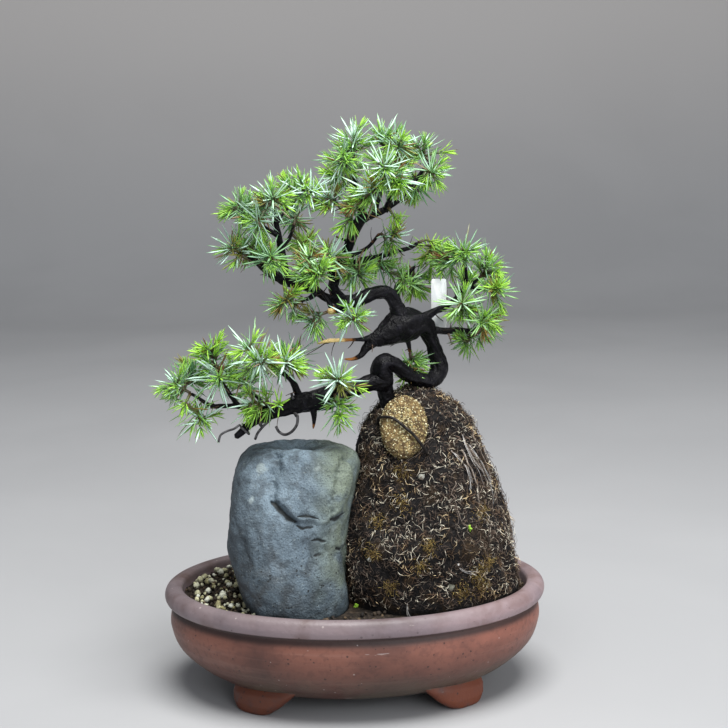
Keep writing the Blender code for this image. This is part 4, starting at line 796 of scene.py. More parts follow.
@dataclass
class SharedEffects:
    """Node groups that more than one finish uses."""

    mottle: bpy.types.NodeTree = field(default=None)
    flecks: bpy.types.NodeTree = field(default=None)
    grain: bpy.types.NodeTree = field(default=None)

    def build(self) -> None:
        """Make the three groups."""
        graph, given, result = group_tree(
            "mottle", (("Scale", "Float"), ("Low", "Float"), ("High", "Float"),
                       ("First", "Color"), ("Second", "Color")),
            (("Colour", "Color"), ("Mask", "Float")))
        scale, low, high, first, second = given.outputs[:5]
        mask = graph.span(graph.noise(scale, 5.0, distortion=0.4), low, high)
        graph.fill(result, Colour=graph.mix(mask, first, second), Mask=mask)
        self.mottle = graph.tree
        graph, given, result = group_tree(
            "flecks", (("Scale", "Float"), ("Size", "Float"), ("Share", "Float")), (("Mask", "Float"),))
        scale, size, share = given.outputs[:3]
        cells = graph.cells(scale)
        split = graph.fill(graph.add("ShaderNodeSeparateColor"), Color=cells.outputs["Color"])
        reach = graph.times(size, split.outputs["Green"])
        near = graph.math("LESS_THAN", cells.outputs["Distance"], reach)
        chosen = graph.math("LESS_THAN", split.outputs["Red"], share)
        graph.fill(result, Mask=graph.times(near, chosen))
        self.flecks = graph.tree
        graph, given, result = group_tree(
            "grain", (("Scale", "Float"), ("Detail", "Float")), (("Height", "Float"),))
        graph.fill(result, Height=graph.noise(*given.outputs[:2]))
        self.grain = graph.tree


EFFECTS = SharedEffects()


@dataclass
class Finish(Graph):
    """One material in the making: the graph round its Principled shader."""

    tree: bpy.types.NodeTree = field(init=False)
    name: str
    material: Material = field(init=False)

    def __post_init__(self) -> None:
        """Make the material with its Principled shader."""
        self.material = bpy.data.materials.new(self.name)
        self.material.use_nodes = True
        self.tree = self.material.node_tree

    def made(self, **values: object) -> Material:
        """The material, once sockets of its shader are set or wired."""
        self.fill(self.tree.nodes["Principled BSDF"], **values)
        return self.material

    def effect(self, tree: bpy.types.NodeTree, **values: object) -> Node:
        """Place a shared effect with its own values."""
        return self.fill(self.add("ShaderNodeGroup", node_tree=tree), **values)

    def mottled(self, scale: float, first: Colour, second: Colour, low: float = 0.35,
                high: float = 0.65) -> Socket:
        """Two colours in soft patches."""
        node = self.effect(EFFECTS.mottle, Scale=scale, Low=low, High=high, First=first, Second=second)
        return node.outputs["Colour"]

    def patches(self, scale: float, low: float, high: float) -> Socket:
        """Mask of soft patches."""
        node = self.effect(EFFECTS.mottle, Scale=scale, Low=low, High=high)
        return node.outputs["Mask"]

    def flecked(self, scale: float, size: float, share: float) -> Socket:
        """Mask of small scattered spots."""
        return self.effect(EFFECTS.flecks, Scale=scale, Size=size, Share=share).outputs["Mask"]

    def grained(self, scale: float, detail: float, distance: float, strength: float = 1.0,
                base: object = None) -> Socket:
        """Normal of a fine grain."""
        height = self.effect(EFFECTS.grain, Scale=scale, Detail=detail).outputs["Height"]
        return self.bump(height, distance, strength, base)


@dataclass(frozen=True)
class ClayFinish:
    """Unglazed clay: pinkish rim, orange-brown body, mineral stains low down, scratches and pits. Painted
    light and shade: the body is darker towards the bottom and lighter towards the top, the rim's lower band
    is lighter, the recess under the rim and the pits hold painted shadow, and the clay is paler towards its
    right end.
    """

    body: Colour = (0.180, 0.075, 0.054)
    body_dark: Colour = (0.075, 0.033, 0.027)
    worn: Colour = (0.240, 0.130, 0.105)
    rim: Colour = (0.190, 0.146, 0.152)
    rim_dark: Colour = (0.110, 0.068, 0.062)
    foot: Colour = (0.120, 0.031, 0.013)
    stain: Colour = (0.105, 0.090, 0.066)
    groove: Colour = (0.036, 0.018, 0.016)
    # Near-black for painted shade: the shadow in the recess under the rim and inside the pits.
    chalk: Colour = (0.460, 0.400, 0.380)

    def material(self) -> Material:
        """Build the clay."""
        graph = Finish("unglazed_clay_finish")
        height = graph.axis("Z")
        ragged = graph.math("ADD", height, graph.times(graph.noise(60.0, 4.0), 0.004))
        body = graph.mottled(30.0, self.body, self.body_dark, 0.40, 0.86)
        banded = graph.span(graph.noise(1.0, 4.0, graph.stretch((9.0, 9.0, 260.0))), 0.46, 0.66)
        body = graph.over(body, banded, 0.45, self.worn)
        body = graph.over(body, graph.patches(330.0, 0.50, 0.66), 0.35, self.body_dark)
        # Painted shade and light: the body is darkened towards the bottom and lightened towards the top, as
        # light from above would fall on it.
        shade = graph.mix(graph.span(height, 0.014, 0.043), (0.40, 0.39, 0.40), (1.22, 1.14, 1.10))
        body = graph.tint(body, shade)
        foot = graph.number("foot")
        footed = graph.mix(foot, body, graph.mottled(150.0, self.foot, self.body_dark, 0.45, 0.80))
        rim = graph.mottled(42.0, self.rim, self.rim_dark, 0.44, 0.74)
        # Painted light and shade on the rim: its lower band is painted lighter and its crest a little darker
        # than the clay's own colour.
        under = graph.mix(graph.span(height, 0.0535, 0.0585), (1.35, 1.35, 1.38), (0.92, 0.93, 0.94))
        rim = graph.tint(rim, under)
        rimmed = graph.mix(graph.span(ragged, 0.0500, 0.0530), footed, rim)
        # Painted shadow: a dark band in the recess under the rim.
        above, below = graph.span(height, 0.0440, 0.0475), graph.span(height, 0.0500, 0.0512, 1.0, 0.0)
        painted_rim_shadow = graph.times(graph.times(above, below), 0.92)
        rimmed = graph.mix(painted_rim_shadow, rimmed, self.groove)
        bowl = graph.math("SUBTRACT", 1.0, graph.number("foot"))
        low = graph.times(graph.span(height, 0.010, 0.034, 1.0, 0.0), bowl)
        stained = graph.times(graph.patches(36.0, 0.36, 0.62), low)
        colour = graph.over(rimmed, stained, 0.70, self.stain)
        # Painted light: the clay is painted paler towards its right end, standing in for stronger light
        # there.
        painted_light_right = graph.mix(graph.span(graph.axis("X"), -0.010, 0.085), grey(1.0), (1.45, 1.40, 1.40))
        colour = graph.tint(colour, painted_light_right)
        aged = graph.times(graph.patches(17.0, 0.46, 0.66), 0.55)
        colour = graph.mix(aged, colour, graph.tint(colour, (0.60, 0.62, 0.66)))
        scratch = graph.span(graph.noise(48.0, 6.0, graph.stretch((1.0, 1.0, 7.0))), 0.715, 0.740)
        colour = graph.over(colour, scratch, 0.45, self.chalk)
        colour = graph.over(colour, graph.flecked(520.0, 0.30, 0.030), 0.50, self.chalk)
        # Pits: small dents in the bump, painted dark inside as painted shade, fewer on the rim.
        pits = graph.times(graph.flecked(700.0, 0.50, 0.08), graph.span(height, 0.050, 0.054, 1.0, 0.25))
        colour = graph.over(colour, pits, 0.75, self.groove)
        sheen = graph.mix(graph.noise(35.0, 4.0), grey(0.40), grey(0.62))
        normal = graph.grained(380.0, 4.0, 0.00045, 0.55)
        normal = graph.bump(graph.math("SUBTRACT", 1.0, pits), 0.0002, 0.6, normal)
        return graph.made(Base_Color=colour, Roughness=sheen, Normal=normal, Specular_IOR_Level=0.45)


@dataclass(frozen=True)
class StoneFinish:
    """Blue-grey river stone: mottled, greener to the right, darker low on the left, pocked and flecked, with
    painted shade in its pits, cracks and creases.
    """

    light: Colour = (0.158, 0.212, 0.258)
    middle: Colour = (0.092, 0.124, 0.150)
    dark: Colour = (0.034, 0.044, 0.054)
    green: Colour = (0.200, 0.238, 0.172)
    brown: Colour = (0.052, 0.046, 0.040)
    pale: Colour = (0.340, 0.400, 0.400)
    # Near-black for painted shade inside the pits and along the cracks and creases.
    pit_and_crack_shade: Colour = (0.016, 0.018, 0.018)

    def material(self) -> Material:
        """Build the stone."""
        graph = Finish("river_stone_finish")
        across, height = graph.axis("X"), graph.axis("Z")
        colour = graph.mottled(60.0, self.middle, self.light, 0.30, 0.62)
        colour = graph.over(colour, graph.patches(150.0, 0.46, 0.64), 0.62, self.dark)
        right = graph.times(graph.span(across, -0.028, -0.006), graph.patches(45.0, 0.32, 0.58))
        colour = graph.over(colour, right, 0.85, self.green)
        low = graph.span(height, 0.066, 0.112, 1.0, 0.0)
        low = graph.times(low, graph.patches(120.0, 0.34, 0.64))
        low = graph.times(low, graph.span(across, -0.052, -0.026, 1.0, 0.30))
        colour = graph.over(colour, low, 0.80, self.brown)
        dim = graph.mix(graph.span(height, 0.058, 0.104), (0.64, 0.65, 0.65), grey(1.0))
        colour = graph.tint(colour, dim)
        left = graph.span(across, -0.070, -0.044, 1.0, 0.0)
        colour = graph.over(colour, left, 0.74, self.dark)
        grains = graph.patches(1500.0, 0.50, 0.66)
        colour = graph.over(colour, grains, 0.50, self.dark)
        glints = graph.patches(800.0, 0.60, 0.70)
        colour = graph.over(colour, glints, 0.26, self.pale)
        # Pocks: small dents in the bump, painted near-black inside as painted shade, more of them low down.
        pocks = graph.flecked(880.0, 0.50, 0.16)
        specks = graph.times(pocks, graph.span(height, 0.075, 0.115, 0.90, 0.40))
        colour = graph.mix(specks, colour, self.pit_and_crack_shade)
        # Painted shade along the cracks and creases, from the groove numbers of the mesh.
        colour = graph.mix(graph.number("groove"), colour, self.pit_and_crack_shade)
        colour = graph.mix(graph.number("bleach"), colour, self.pale)
        normal = graph.grained(260.0, 3.0, 0.0011, 0.6)
        normal = graph.grained(900.0, 6.0, 0.0007, 1.0, normal)
        normal = graph.bump(graph.math("SUBTRACT", 1.0, specks), 0.0004, 0.7, normal)
        rough = graph.mix(graph.patches(70.0, 0.3, 0.7), grey(0.60), grey(0.82))
        return graph.made(Base_Color=colour, Roughness=rough, Normal=normal, Specular_IOR_Level=0.38)


@dataclass(frozen=True)
class EarthFinish:
    """Dark crumbly earth with lighter crumbs; the same recipe serves peat and potting soil."""

    name: str
    dark: Colour
    light: Colour
    warm: Colour
    warm_share: float = 0.35

    def material(self) -> Material:
        """Build the earth."""
        graph = Finish(self.name)
        colour = graph.mottled(420.0, self.dark, self.light, 0.42, 0.72)
        warm = graph.times(graph.patches(75.0, 0.52, 0.66), self.warm_share)
        colour = graph.mix(warm, colour, self.warm)
        colour = graph.over(colour, graph.patches(900.0, 0.50, 0.60), 0.45, self.dark)
        normal = graph.grained(900.0, 5.0, 0.0010, 1.0)
        rough = graph.mix(graph.noise(300.0, 2.0), grey(0.70), grey(1.0))
        return graph.made(Base_Color=colour, Roughness=rough, Normal=normal, Specular_IOR_Level=0.25)


@dataclass(frozen=True)
class TonedFinish:
    """Small things of many tones, such as grains, rootlets or moss: each takes its own from its mesh."""

    name: str
    low: Colour
    middle: Colour
    high: Colour
    roughness: float = 0.8
    grain_scale: float = 900.0
    grain_depth: float = 0.0003
    patch_tint: Colour = grey(1.0)

    def material(self) -> Material:
        """Build the graph."""
        graph = Finish(self.name)
        tone = graph.number("tone")
        colour = graph.mix(graph.span(tone, 0.0, 0.55), self.low, self.middle)
        colour = graph.mix(graph.span(tone, 0.55, 1.0), colour, self.high)
        shade = graph.mix(graph.patches(self.grain_scale, 0.35, 0.70), grey(0.62), grey(1.0))
        colour = graph.tint(colour, shade)
        colour = graph.mix(graph.patches(95.0, 0.50, 0.62), colour, graph.tint(colour, self.patch_tint))
        normal = graph.grained(self.grain_scale, 3.0, self.grain_depth, 0.8)
        return graph.made(
            Base_Color=colour, Normal=normal, Roughness=self.roughness, Specular_IOR_Level=0.35)


@dataclass(frozen=True)
class BarkFinish:
    """Near-black bark with a cool sheen, worn to orange-brown and pale wood where the limb is dead."""

    dark: Colour = (0.0030, 0.0027, 0.0038)
    ridge: Colour = (0.0090, 0.0085, 0.0125)
    rust: Colour = (0.330, 0.130, 0.035)
    bare: Colour = (0.760, 0.560, 0.250)

    def material(self) -> Material:
        """Build the bark."""
        graph = Finish("dark_bark_finish")
        colour = graph.mottled(240.0, self.dark, self.ridge, 0.46, 0.78)
        colour = graph.mix(graph.number("ridge"), colour, self.ridge)
        dead = graph.number("dead")
        scatter = graph.times(graph.math("SUBTRACT", graph.noise(420.0, 3.0), 0.5), 0.5)
        ragged = graph.math("ADD", dead, scatter)
        colour = graph.mix(graph.span(ragged, 0.12, 0.42), colour, self.rust)
        colour = graph.mix(graph.span(ragged, 0.48, 0.82), colour, self.bare)
        wet = graph.mix(graph.patches(260.0, 0.35, 0.65), grey(0.28), grey(0.54))
        sheen = graph.mix(dead, wet, grey(0.70))
        normal = graph.grained(650.0, 4.0, 0.0008, 1.0)
        return graph.made(Base_Color=colour, Roughness=sheen, Normal=normal, Specular_IOR_Level=0.13)


@dataclass(frozen=True)
class NeedleFinish:
    """Needle foliage: green keel, whitish band on the upper side, bright when new, brown when dry."""

    name: str
    old: Colour = (0.115, 0.300, 0.060)
    blue: Colour = (0.150, 0.335, 0.190)
    new: Colour = (0.400, 0.720, 0.080)
    band: Colour = (0.640, 0.850, 0.760)
    dry: Colour = (0.230, 0.105, 0.035)
    shoot: Colour = (0.085, 0.048, 0.026)

    def material(self) -> Material:
        """Build the foliage."""
        graph = Finish(self.name)
        green = graph.mix(graph.number("age"), graph.mottled(55.0, self.old, self.blue), self.new)
        faded = graph.times(graph.number("band"), graph.span(graph.noise(90.0, 2.0), 0.30, 0.62, 0.55))
        colour = graph.mix(graph.span(faded, 0.12, 0.66), green, self.band)
        colour = graph.mix(graph.number("dry"), colour, self.dry)
        colour = graph.mix(graph.number("woody"), colour, self.shoot)
        sheen = graph.mix(graph.number("band"), grey(0.38), grey(0.60))
        normal = graph.grained(1500.0, 2.0, 0.0001, 0.4)
        return graph.made(Base_Color=colour, Roughness=sheen, Normal=normal, Specular_IOR_Level=0.45)


@dataclass(frozen=True)
class MetalFinish:
    """Aged wire: dull metal with darker tarnish."""

    name: str
    bright: Colour
    tarnish: Colour
    roughness: Colour = grey(0.45)

    def material(self) -> Material:
        """Build the wire's metal."""
        graph = Finish(self.name)
        colour = graph.mottled(330.0, self.bright, self.tarnish, 0.40, 0.62)
        rough = graph.mix(graph.patches(500.0, 0.3, 0.7), self.roughness, grey(0.75))
        normal = graph.grained(1400.0, 2.0, 0.0001, 0.5)
        return graph.made(Base_Color=colour, Roughness=rough, Metallic=0.75, Normal=normal)


@dataclass(frozen=True)
class PlasticFinish:
    """Weathered plastic: one colour with faint dirt and a fine moulded grain."""

    name: str
    colour: Colour
    dirt: Colour
    roughness: float = 0.4

    def material(self) -> Material:
        """Build the plastic."""
        graph = Finish(self.name)
        colour = graph.over(self.colour, graph.patches(160.0, 0.45, 0.75), 0.5, self.dirt)
        normal = graph.grained(900.0, 3.0, 0.00008, 0.4)
        return graph.made(Base_Color=colour, Roughness=self.roughness, Normal=normal)


# Sub-assemblies


@dataclass
class Pot:
    """Oval bowl with a rolled rim, four bracket feet and two drainage holes."""

    length: float = 0.210
    depth: float = 0.150
    depth_share: float = 0.8
    sides: int = 156
    # The wall's profile in three parts: inset from the pot's outermost edge, and height
    outside: Rows = (
        (380, 80), (280, 105), (170, 170), (70, 270), (30, 380), (33, 450), (46, 488))
    rim: Rows = (
        (42, 496), (14, 508), (0, 545), (12, 580), (45, 598), (78, 594), (98, 578))
    inside: Rows = (
        (106, 500), (115, 380), (190, 230), (350, 155))
    foot_centre: Pair = (0.0555, 0.0385)
    # Height, rise at the inner end, start, end, half width and shift outwards
    foot_levels: Rows = (
        (0, 0, -105, 95, 52, 0), (50, 0, -135, 165, 62, -4), (90, 35, -148, 245, 62, -16),
        (130, 45, -148, 300, 52, -36))
    drain_offset: float = 0.040
    drain_radius: float = 0.007
    drain_sides: int = 48
    drain_span: Pair = (0.004, 0.022)
    foot_rings: int = 22
    foot_sides: int = 60
    foot_power: float = 0.80
    sharp: float = math.radians(42.0)

    def half_axes(self, inset: Array) -> Array:
        """Half length and half depth of the oval, pulled in from its outermost edge."""
        return np.stack((self.length / 2 - inset, self.depth / 2 - self.depth_share * inset), axis=-1)

    def bowl(self) -> Surface:
        """Skin of the bowl: at each height an oval of length / 2 - inset by depth / 2 - 0.8 * inset."""
        profile = tenths(self.outside + self.rim + self.inside)
        profile = smooth_route(np.pad(profile, ((0, 0), (0, 1))), 0.0010)
        oval = circle(self.sides)
        flat = self.half_axes(profile[:, 0])[:, None] * oval
        wobble = value_noise(np.pad(oval * 2.0, ((0, 0), (0, 1))), 0.9, 3) * 0.00025
        rings = np.empty((len(profile), self.sides, 3))
        rings[:, :, :2] = flat * (1.0 - np.abs(wobble)[:, None] / 0.1)
        rings[:, :, 2] = profile[:, 1, None]
        return lofted(rings)

    def foot(self, side_x: int, side_y: int) -> Surface:
        """One foot: superellipse sections, smooth between the given levels, rising at the inner end."""
        centre = np.array((side_x * self.foot_centre[0], side_y * self.foot_centre[1]))
        outward = unit(np.array((centre[0] / self.length ** 2, centre[1] / self.depth ** 2)))
        along = np.array((-side_x * abs(outward[1]), side_y * abs(outward[0])))
        levels = tenths(self.foot_levels)
        share = np.linspace(0.0, 1.0, self.foot_rings)
        levels = between(share, np.linspace(0.0, 1.0, len(levels)), levels)
        shrink = 0.0007 * np.maximum(0.0, 1.0 - levels[:, 0] / 0.0014) ** 2
        rounded = circle(self.foot_sides)
        rounded = np.sign(rounded) * np.abs(rounded) ** self.foot_power
        if side_x * side_y > 0:
            rounded = rounded[::-1]
        height, rise, start, end, half_width, shift = levels.T[:, :, None]
        across = (end - start) / 2 - shrink[:, None]
        rings = np.empty((self.foot_rings, self.foot_sides, 3))
        rings[:, :, :2] = (
            centre + along * ((start + end) / 2)[:, :, None] + outward * shift[:, :, None]
            + (rounded[:, 0] * across)[:, :, None] * along
            + (rounded[:, 1] * (half_width - shrink[:, None]))[:, :, None] * outward)
        rings[:, :, 2] = height + rise * (1.0 + rounded[:, 0]) / 2
        return lofted(rings)

    def cutter(self, side: int) -> Surface:
        """Upright bar that cuts one drainage hole."""
        ring = np.pad(circle(self.drain_sides) * self.drain_radius, ((0, 0), (0, 1)))
        shifts = [(side * self.drain_offset, 0.0, height) for height in self.drain_span]
        return lofted(ring + np.array(shifts)[:, None])

    def foot_share(self, mesh: Mesh) -> Array:
        """One at the points of the feet: low ones that lie off the bowl's oval of their height."""
        points = Ground.of(mesh).points
        inset, height = tenths(self.outside).T
        half = self.half_axes(np.interp(points[:, 2], height, inset))
        off = np.abs(np.hypot(points[:, 0] / half[:, 0], points[:, 1] / half[:, 1]) - 1.0)
        low = (points[:, 2] < 0.0185) & (np.hypot(*points[:, :2].T / 0.050) > 1.0)
        return ((off > 0.012) | (points[:, 2] < 0.0075)) & low

    def build(self) -> None:
        """Join the feet to the bowl, cut the holes and fire the clay."""
        mesh = self.bowl().mesh("pot_bowl")
        for side_x, side_y in ((-1, -1), (1, -1), (-1, 1), (1, 1)):
            mesh = combined(mesh, self.foot(side_x, side_y), "UNION")
        for side in (-1, 1):
            mesh = combined(mesh, self.cutter(side), "DIFFERENCE")
        mesh.shade_smooth()
        mesh.set_sharp_from_angle(angle=self.sharp)
        note_numbers(mesh, {"foot": self.foot_share(mesh)})
        add_piece("clay_pot", mesh, ClayFinish().material(), "unglazed_clay", "pot")


def combined(mesh: Mesh, other: Surface, operation: str) -> Mesh:
    """Add a closed surface to a mesh, or cut it away.

    Args:
        mesh: Closed mesh. It is removed afterwards.
        other: Closed surface.
        operation: UNION or DIFFERENCE.

    Returns:
        The new mesh.
    """
    operand = linked("operand", other.mesh("operand"))
    result = refined(mesh, "BOOLEAN", operation=operation, solver="EXACT", object=operand)
    bpy.data.objects.remove(operand, do_unlink=True)
    return result


@dataclass
class PotFilling:
    """Soil with crumbs, drainage meshes and the pumice in the left pocket."""

    pot: Pot
    edge: float = 0.0535
    crown: float = 0.0575
    inset: float = 0.0102
    arc: Pair = (124.0, 232.0)
    shares: Pair = (0.66, 0.95)
    grain_count: int = 150
    grain_radii: Pair = (0.0008, 0.0014)
    grain_lift: Pair = (0.0010, 0.0034)
    pocket_crumbs: int = 480
    pocket_lift: Pair = (0.0004, 0.0022)
    crumb_count: int = 820
    crumb_radii: Pair = (0.0004, 0.0011)
    crumb_lift: Pair = (-0.0003, 0.0009)
    seed: int = 41

    def bed(self, turn: Array, share: Array, above: Array) -> Array:
        """Points over the soil: its height is edge + (crown - edge) * (1 - share squared)."""
        half = self.pot.half_axes(np.array(self.inset))
        height = self.edge + (self.crown - self.edge) * (1.0 - share ** 2)
        across, deep = share * half[0] * np.cos(turn), share * half[1] * np.sin(turn)
        return np.stack((across, deep, height + above), axis=-1)

    def pumice(self, draw: Draw) -> Surface:
        """Pale grains heaped on a curved bed: many small ones and a few large."""
        start, end = np.radians(self.arc)
        turn = draw.uniform(start, end, self.grain_count)
        share = draw.uniform(self.shares[0], self.shares[1] + 0.02, self.grain_count)
        radii = self.grain_radii[0] + self.grain_radii[1] * draw.uniform(0.0, 1.0, self.grain_count) ** 1.5
        above = draw.uniform(*self.grain_lift, self.grain_count)
        return lumps(self.bed(turn, share, above), radii, draw)

    def crumbs(self, draw: Draw) -> Surface:
        """Dark crumbs all over the soil, and a deeper bed of them between the pumice grains."""
        start, end = np.radians(self.arc)
        turn = np.concatenate((
            draw.uniform(0.0, math.tau, self.crumb_count),
            draw.uniform(start, end, self.pocket_crumbs)))
        share = np.concatenate((
            np.sqrt(draw.uniform(0.50, 0.985, self.crumb_count)),
            draw.uniform(self.shares[0], self.shares[1] + 0.02, self.pocket_crumbs)))
        above = np.concatenate((
            draw.uniform(*self.crumb_lift, self.crumb_count),
            draw.uniform(*self.pocket_lift, self.pocket_crumbs)))
        radii = self.crumb_radii[0] + self.crumb_radii[1] * draw.uniform(0.0, 1.0, len(turn)) ** 2
        return lumps(self.bed(turn, share, above), radii, draw)

    def build(self) -> None:
        """Lay the meshes, the soil, its crumbs and the pumice."""
        draw = np.random.default_rng(self.seed)
        black = PlasticFinish("drain_mesh_finish", grey(0.020), (0.060, 0.045, 0.035), 0.5).material()
        for node in ("drain_mesh_left", "drain_mesh_right"):
            dress_node(node, black)
        earth = EarthFinish(
            "potting_soil_finish", (0.010, 0.007, 0.005), (0.050, 0.036, 0.025), (0.090, 0.050, 0.020))
        dress_node("soil", earth.material())
        crumbs = TonedFinish(
            "soil_crumb_finish", (0.012, 0.009, 0.007), (0.040, 0.028, 0.019), (0.120, 0.080, 0.045))
        add_piece("soil_crumbs", self.crumbs(draw), crumbs.material(), "potting_soil")
        pale = TonedFinish(
            "pumice_finish", (0.330, 0.300, 0.150), (0.580, 0.560, 0.360), (0.800, 0.810, 0.690),
            0.85, 700.0, 0.0004)
        add_piece("pumice_grains", self.pumice(draw), pale.material(), "pumice",
                  "pumice_gravel")


@dataclass
class RiverStone:
    """The stone: the frame's form made smooth, then pocked, creased and cracked."""

    levels: int = 3
    front: float = -0.020
    pit_count: int = 420
    pit_sizes: Pair = (0.0007, 0.0016)
    seed: int = 53
    cracks: tuple[tuple[float, float, Rows], ...] = (
        (0.0018, 0.0015, ((-441, 1179), (-401, 1139), (-361, 1096), (-310, 1073))),
        (0.0006, 0.0007, ((-310, 1098), (-266, 1097), (-204, 1081))),
        (0.0007, 0.0007, ((-311, 1052), (-277, 1033), (-233, 1039))),
        (0.0009, 0.0012, ((-150, 1069), (-116, 1057), (-68, 1066))),
        (0.0010, 0.0009, ((-234, 969), (-200, 964), (-166, 952))),
        (0.0008, 0.0008, ((-112, 901), (-78, 883))),
        (0.0007, 0.0007, ((-229, 887), (-188, 889))))
    creases: tuple[tuple[float, float, Rows], ...] = (
        (0.0011, 0.0042, ((-408, 1370), (-425, 1259), (-434, 1182))),
        (0.0009, 0.0018, ((-9, 1397), (-84, 1320), (-114, 1238), (-137, 1076))),
        (0.0006, 0.0016, ((-628, 1048), (-602, 968), (-570, 873))))
    pale_spots: Rows = (
        (-196, 1329, 16), (-492, 1316, 26), (-543, 1178, 13), (-120, 1010, 13))

    def fine_mesh(self) -> Mesh:
        """The frame's form subdivided smoothly, and split twice more round the cracks and creases."""
        mesh = refined(frame_mesh("rock"), "SUBSURF", levels=self.levels, render_levels=self.levels)
        for reach in (0.0034, 0.0022):
            shape = bmesh.new()
            shape.from_mesh(mesh)
            middles = np.array([edge.verts[0].co + edge.verts[1].co for edge in shape.edges]) / 2
            gaps = [
                distance_to_line(middles[:, (0, 2)], tenths(line))[0]
                for _, _, line in self.cracks + self.creases]
            near = (np.min(gaps, axis=0) < reach) & (middles[:, 1] < self.front)
            edges = [edge for edge, chosen in zip(shape.edges, near) if chosen]
            bmesh.ops.subdivide_edges(shape, edges=edges, cuts=1, use_grid_fill=True)
            shape.to_mesh(mesh)
            shape.free()
        return mesh

    def build(self) -> None:
        """Shape and dress the stone.

        Depth = fractal noise at 14 and 3.5 millimetres + a raised oval plate on the front - grooves along
        the cracks, which fade with the square of the distance to the line - round pits at random points.
        """
        draw = np.random.default_rng(self.seed)
        mesh = self.fine_mesh()
        mesh.shade_smooth()
        ground = Ground.of(mesh)
        points, normals = ground.points, ground.normals
        depth = 0.0008 * layered_noise(points, 0.014, 5) + 0.00034 * layered_noise(points, 0.0035, 9, 2)
        facing = smoothstep(-normals[:, 1], 0.15, 0.45) * (points[:, 1] < self.front)
        flat = points[:, (0, 2)]
        wander = np.stack([value_noise(points, 0.0030, seed) for seed in (21, 22)], axis=1) * 0.0005
        plate = np.hypot((flat[:, 0] + 0.0215) / 0.0205, (flat[:, 1] - 0.1240) / 0.0190)
        plate = plate + 0.10 * value_noise(points, 0.006, 23)
        depth += 0.0017 * facing * (1.0 - smoothstep(plate, 0.90, 1.04))
        # The groove numbers are painted shade: near-black along the cracks, faint along the creases.
        groove = np.zeros(len(points))
        for lines, painted_shade_strength in ((self.cracks, 0.95), (self.creases, 0.12)):
            for cut, width, line in lines:
                gap, share = distance_to_line(flat + wander, tenths(line))
                taper = np.sqrt(np.clip(4.2 * share * (1.0 - share) + 0.1, 0.0, 1.0))
                near = np.exp(-(gap / (width * taper)) ** 2) * facing
                depth -= cut * near
                groove = np.maximum(groove, painted_shade_strength * smoothstep(near, 0.22, 0.80))
        pits = points[draw.integers(0, len(points), self.pit_count)]
        sizes = draw.uniform(*self.pit_sizes, self.pit_count)
        for pit, size in zip(pits, sizes):
            depth -= 0.42 * size * np.exp(-np.sum((points - pit) ** 2, axis=1) / size ** 2)
        bleach = np.zeros(len(points))
        for across, height, size in tenths(self.pale_spots):
            spot = np.hypot(flat[:, 0] - across, flat[:, 1] - height) / size
            ragged = spot + 0.9 * value_noise(points, 0.0016, 31)
            bleach = np.maximum(bleach, (1.0 - smoothstep(ragged, 0.2, 1.3)) * facing * 0.55)
        note_numbers(mesh, {"groove": groove, "bleach": bleach})
        place_points(mesh, points + normals * depth[:, None])
        add_piece("river_stone", mesh, StoneFinish().material(), "river_stone", "rock")


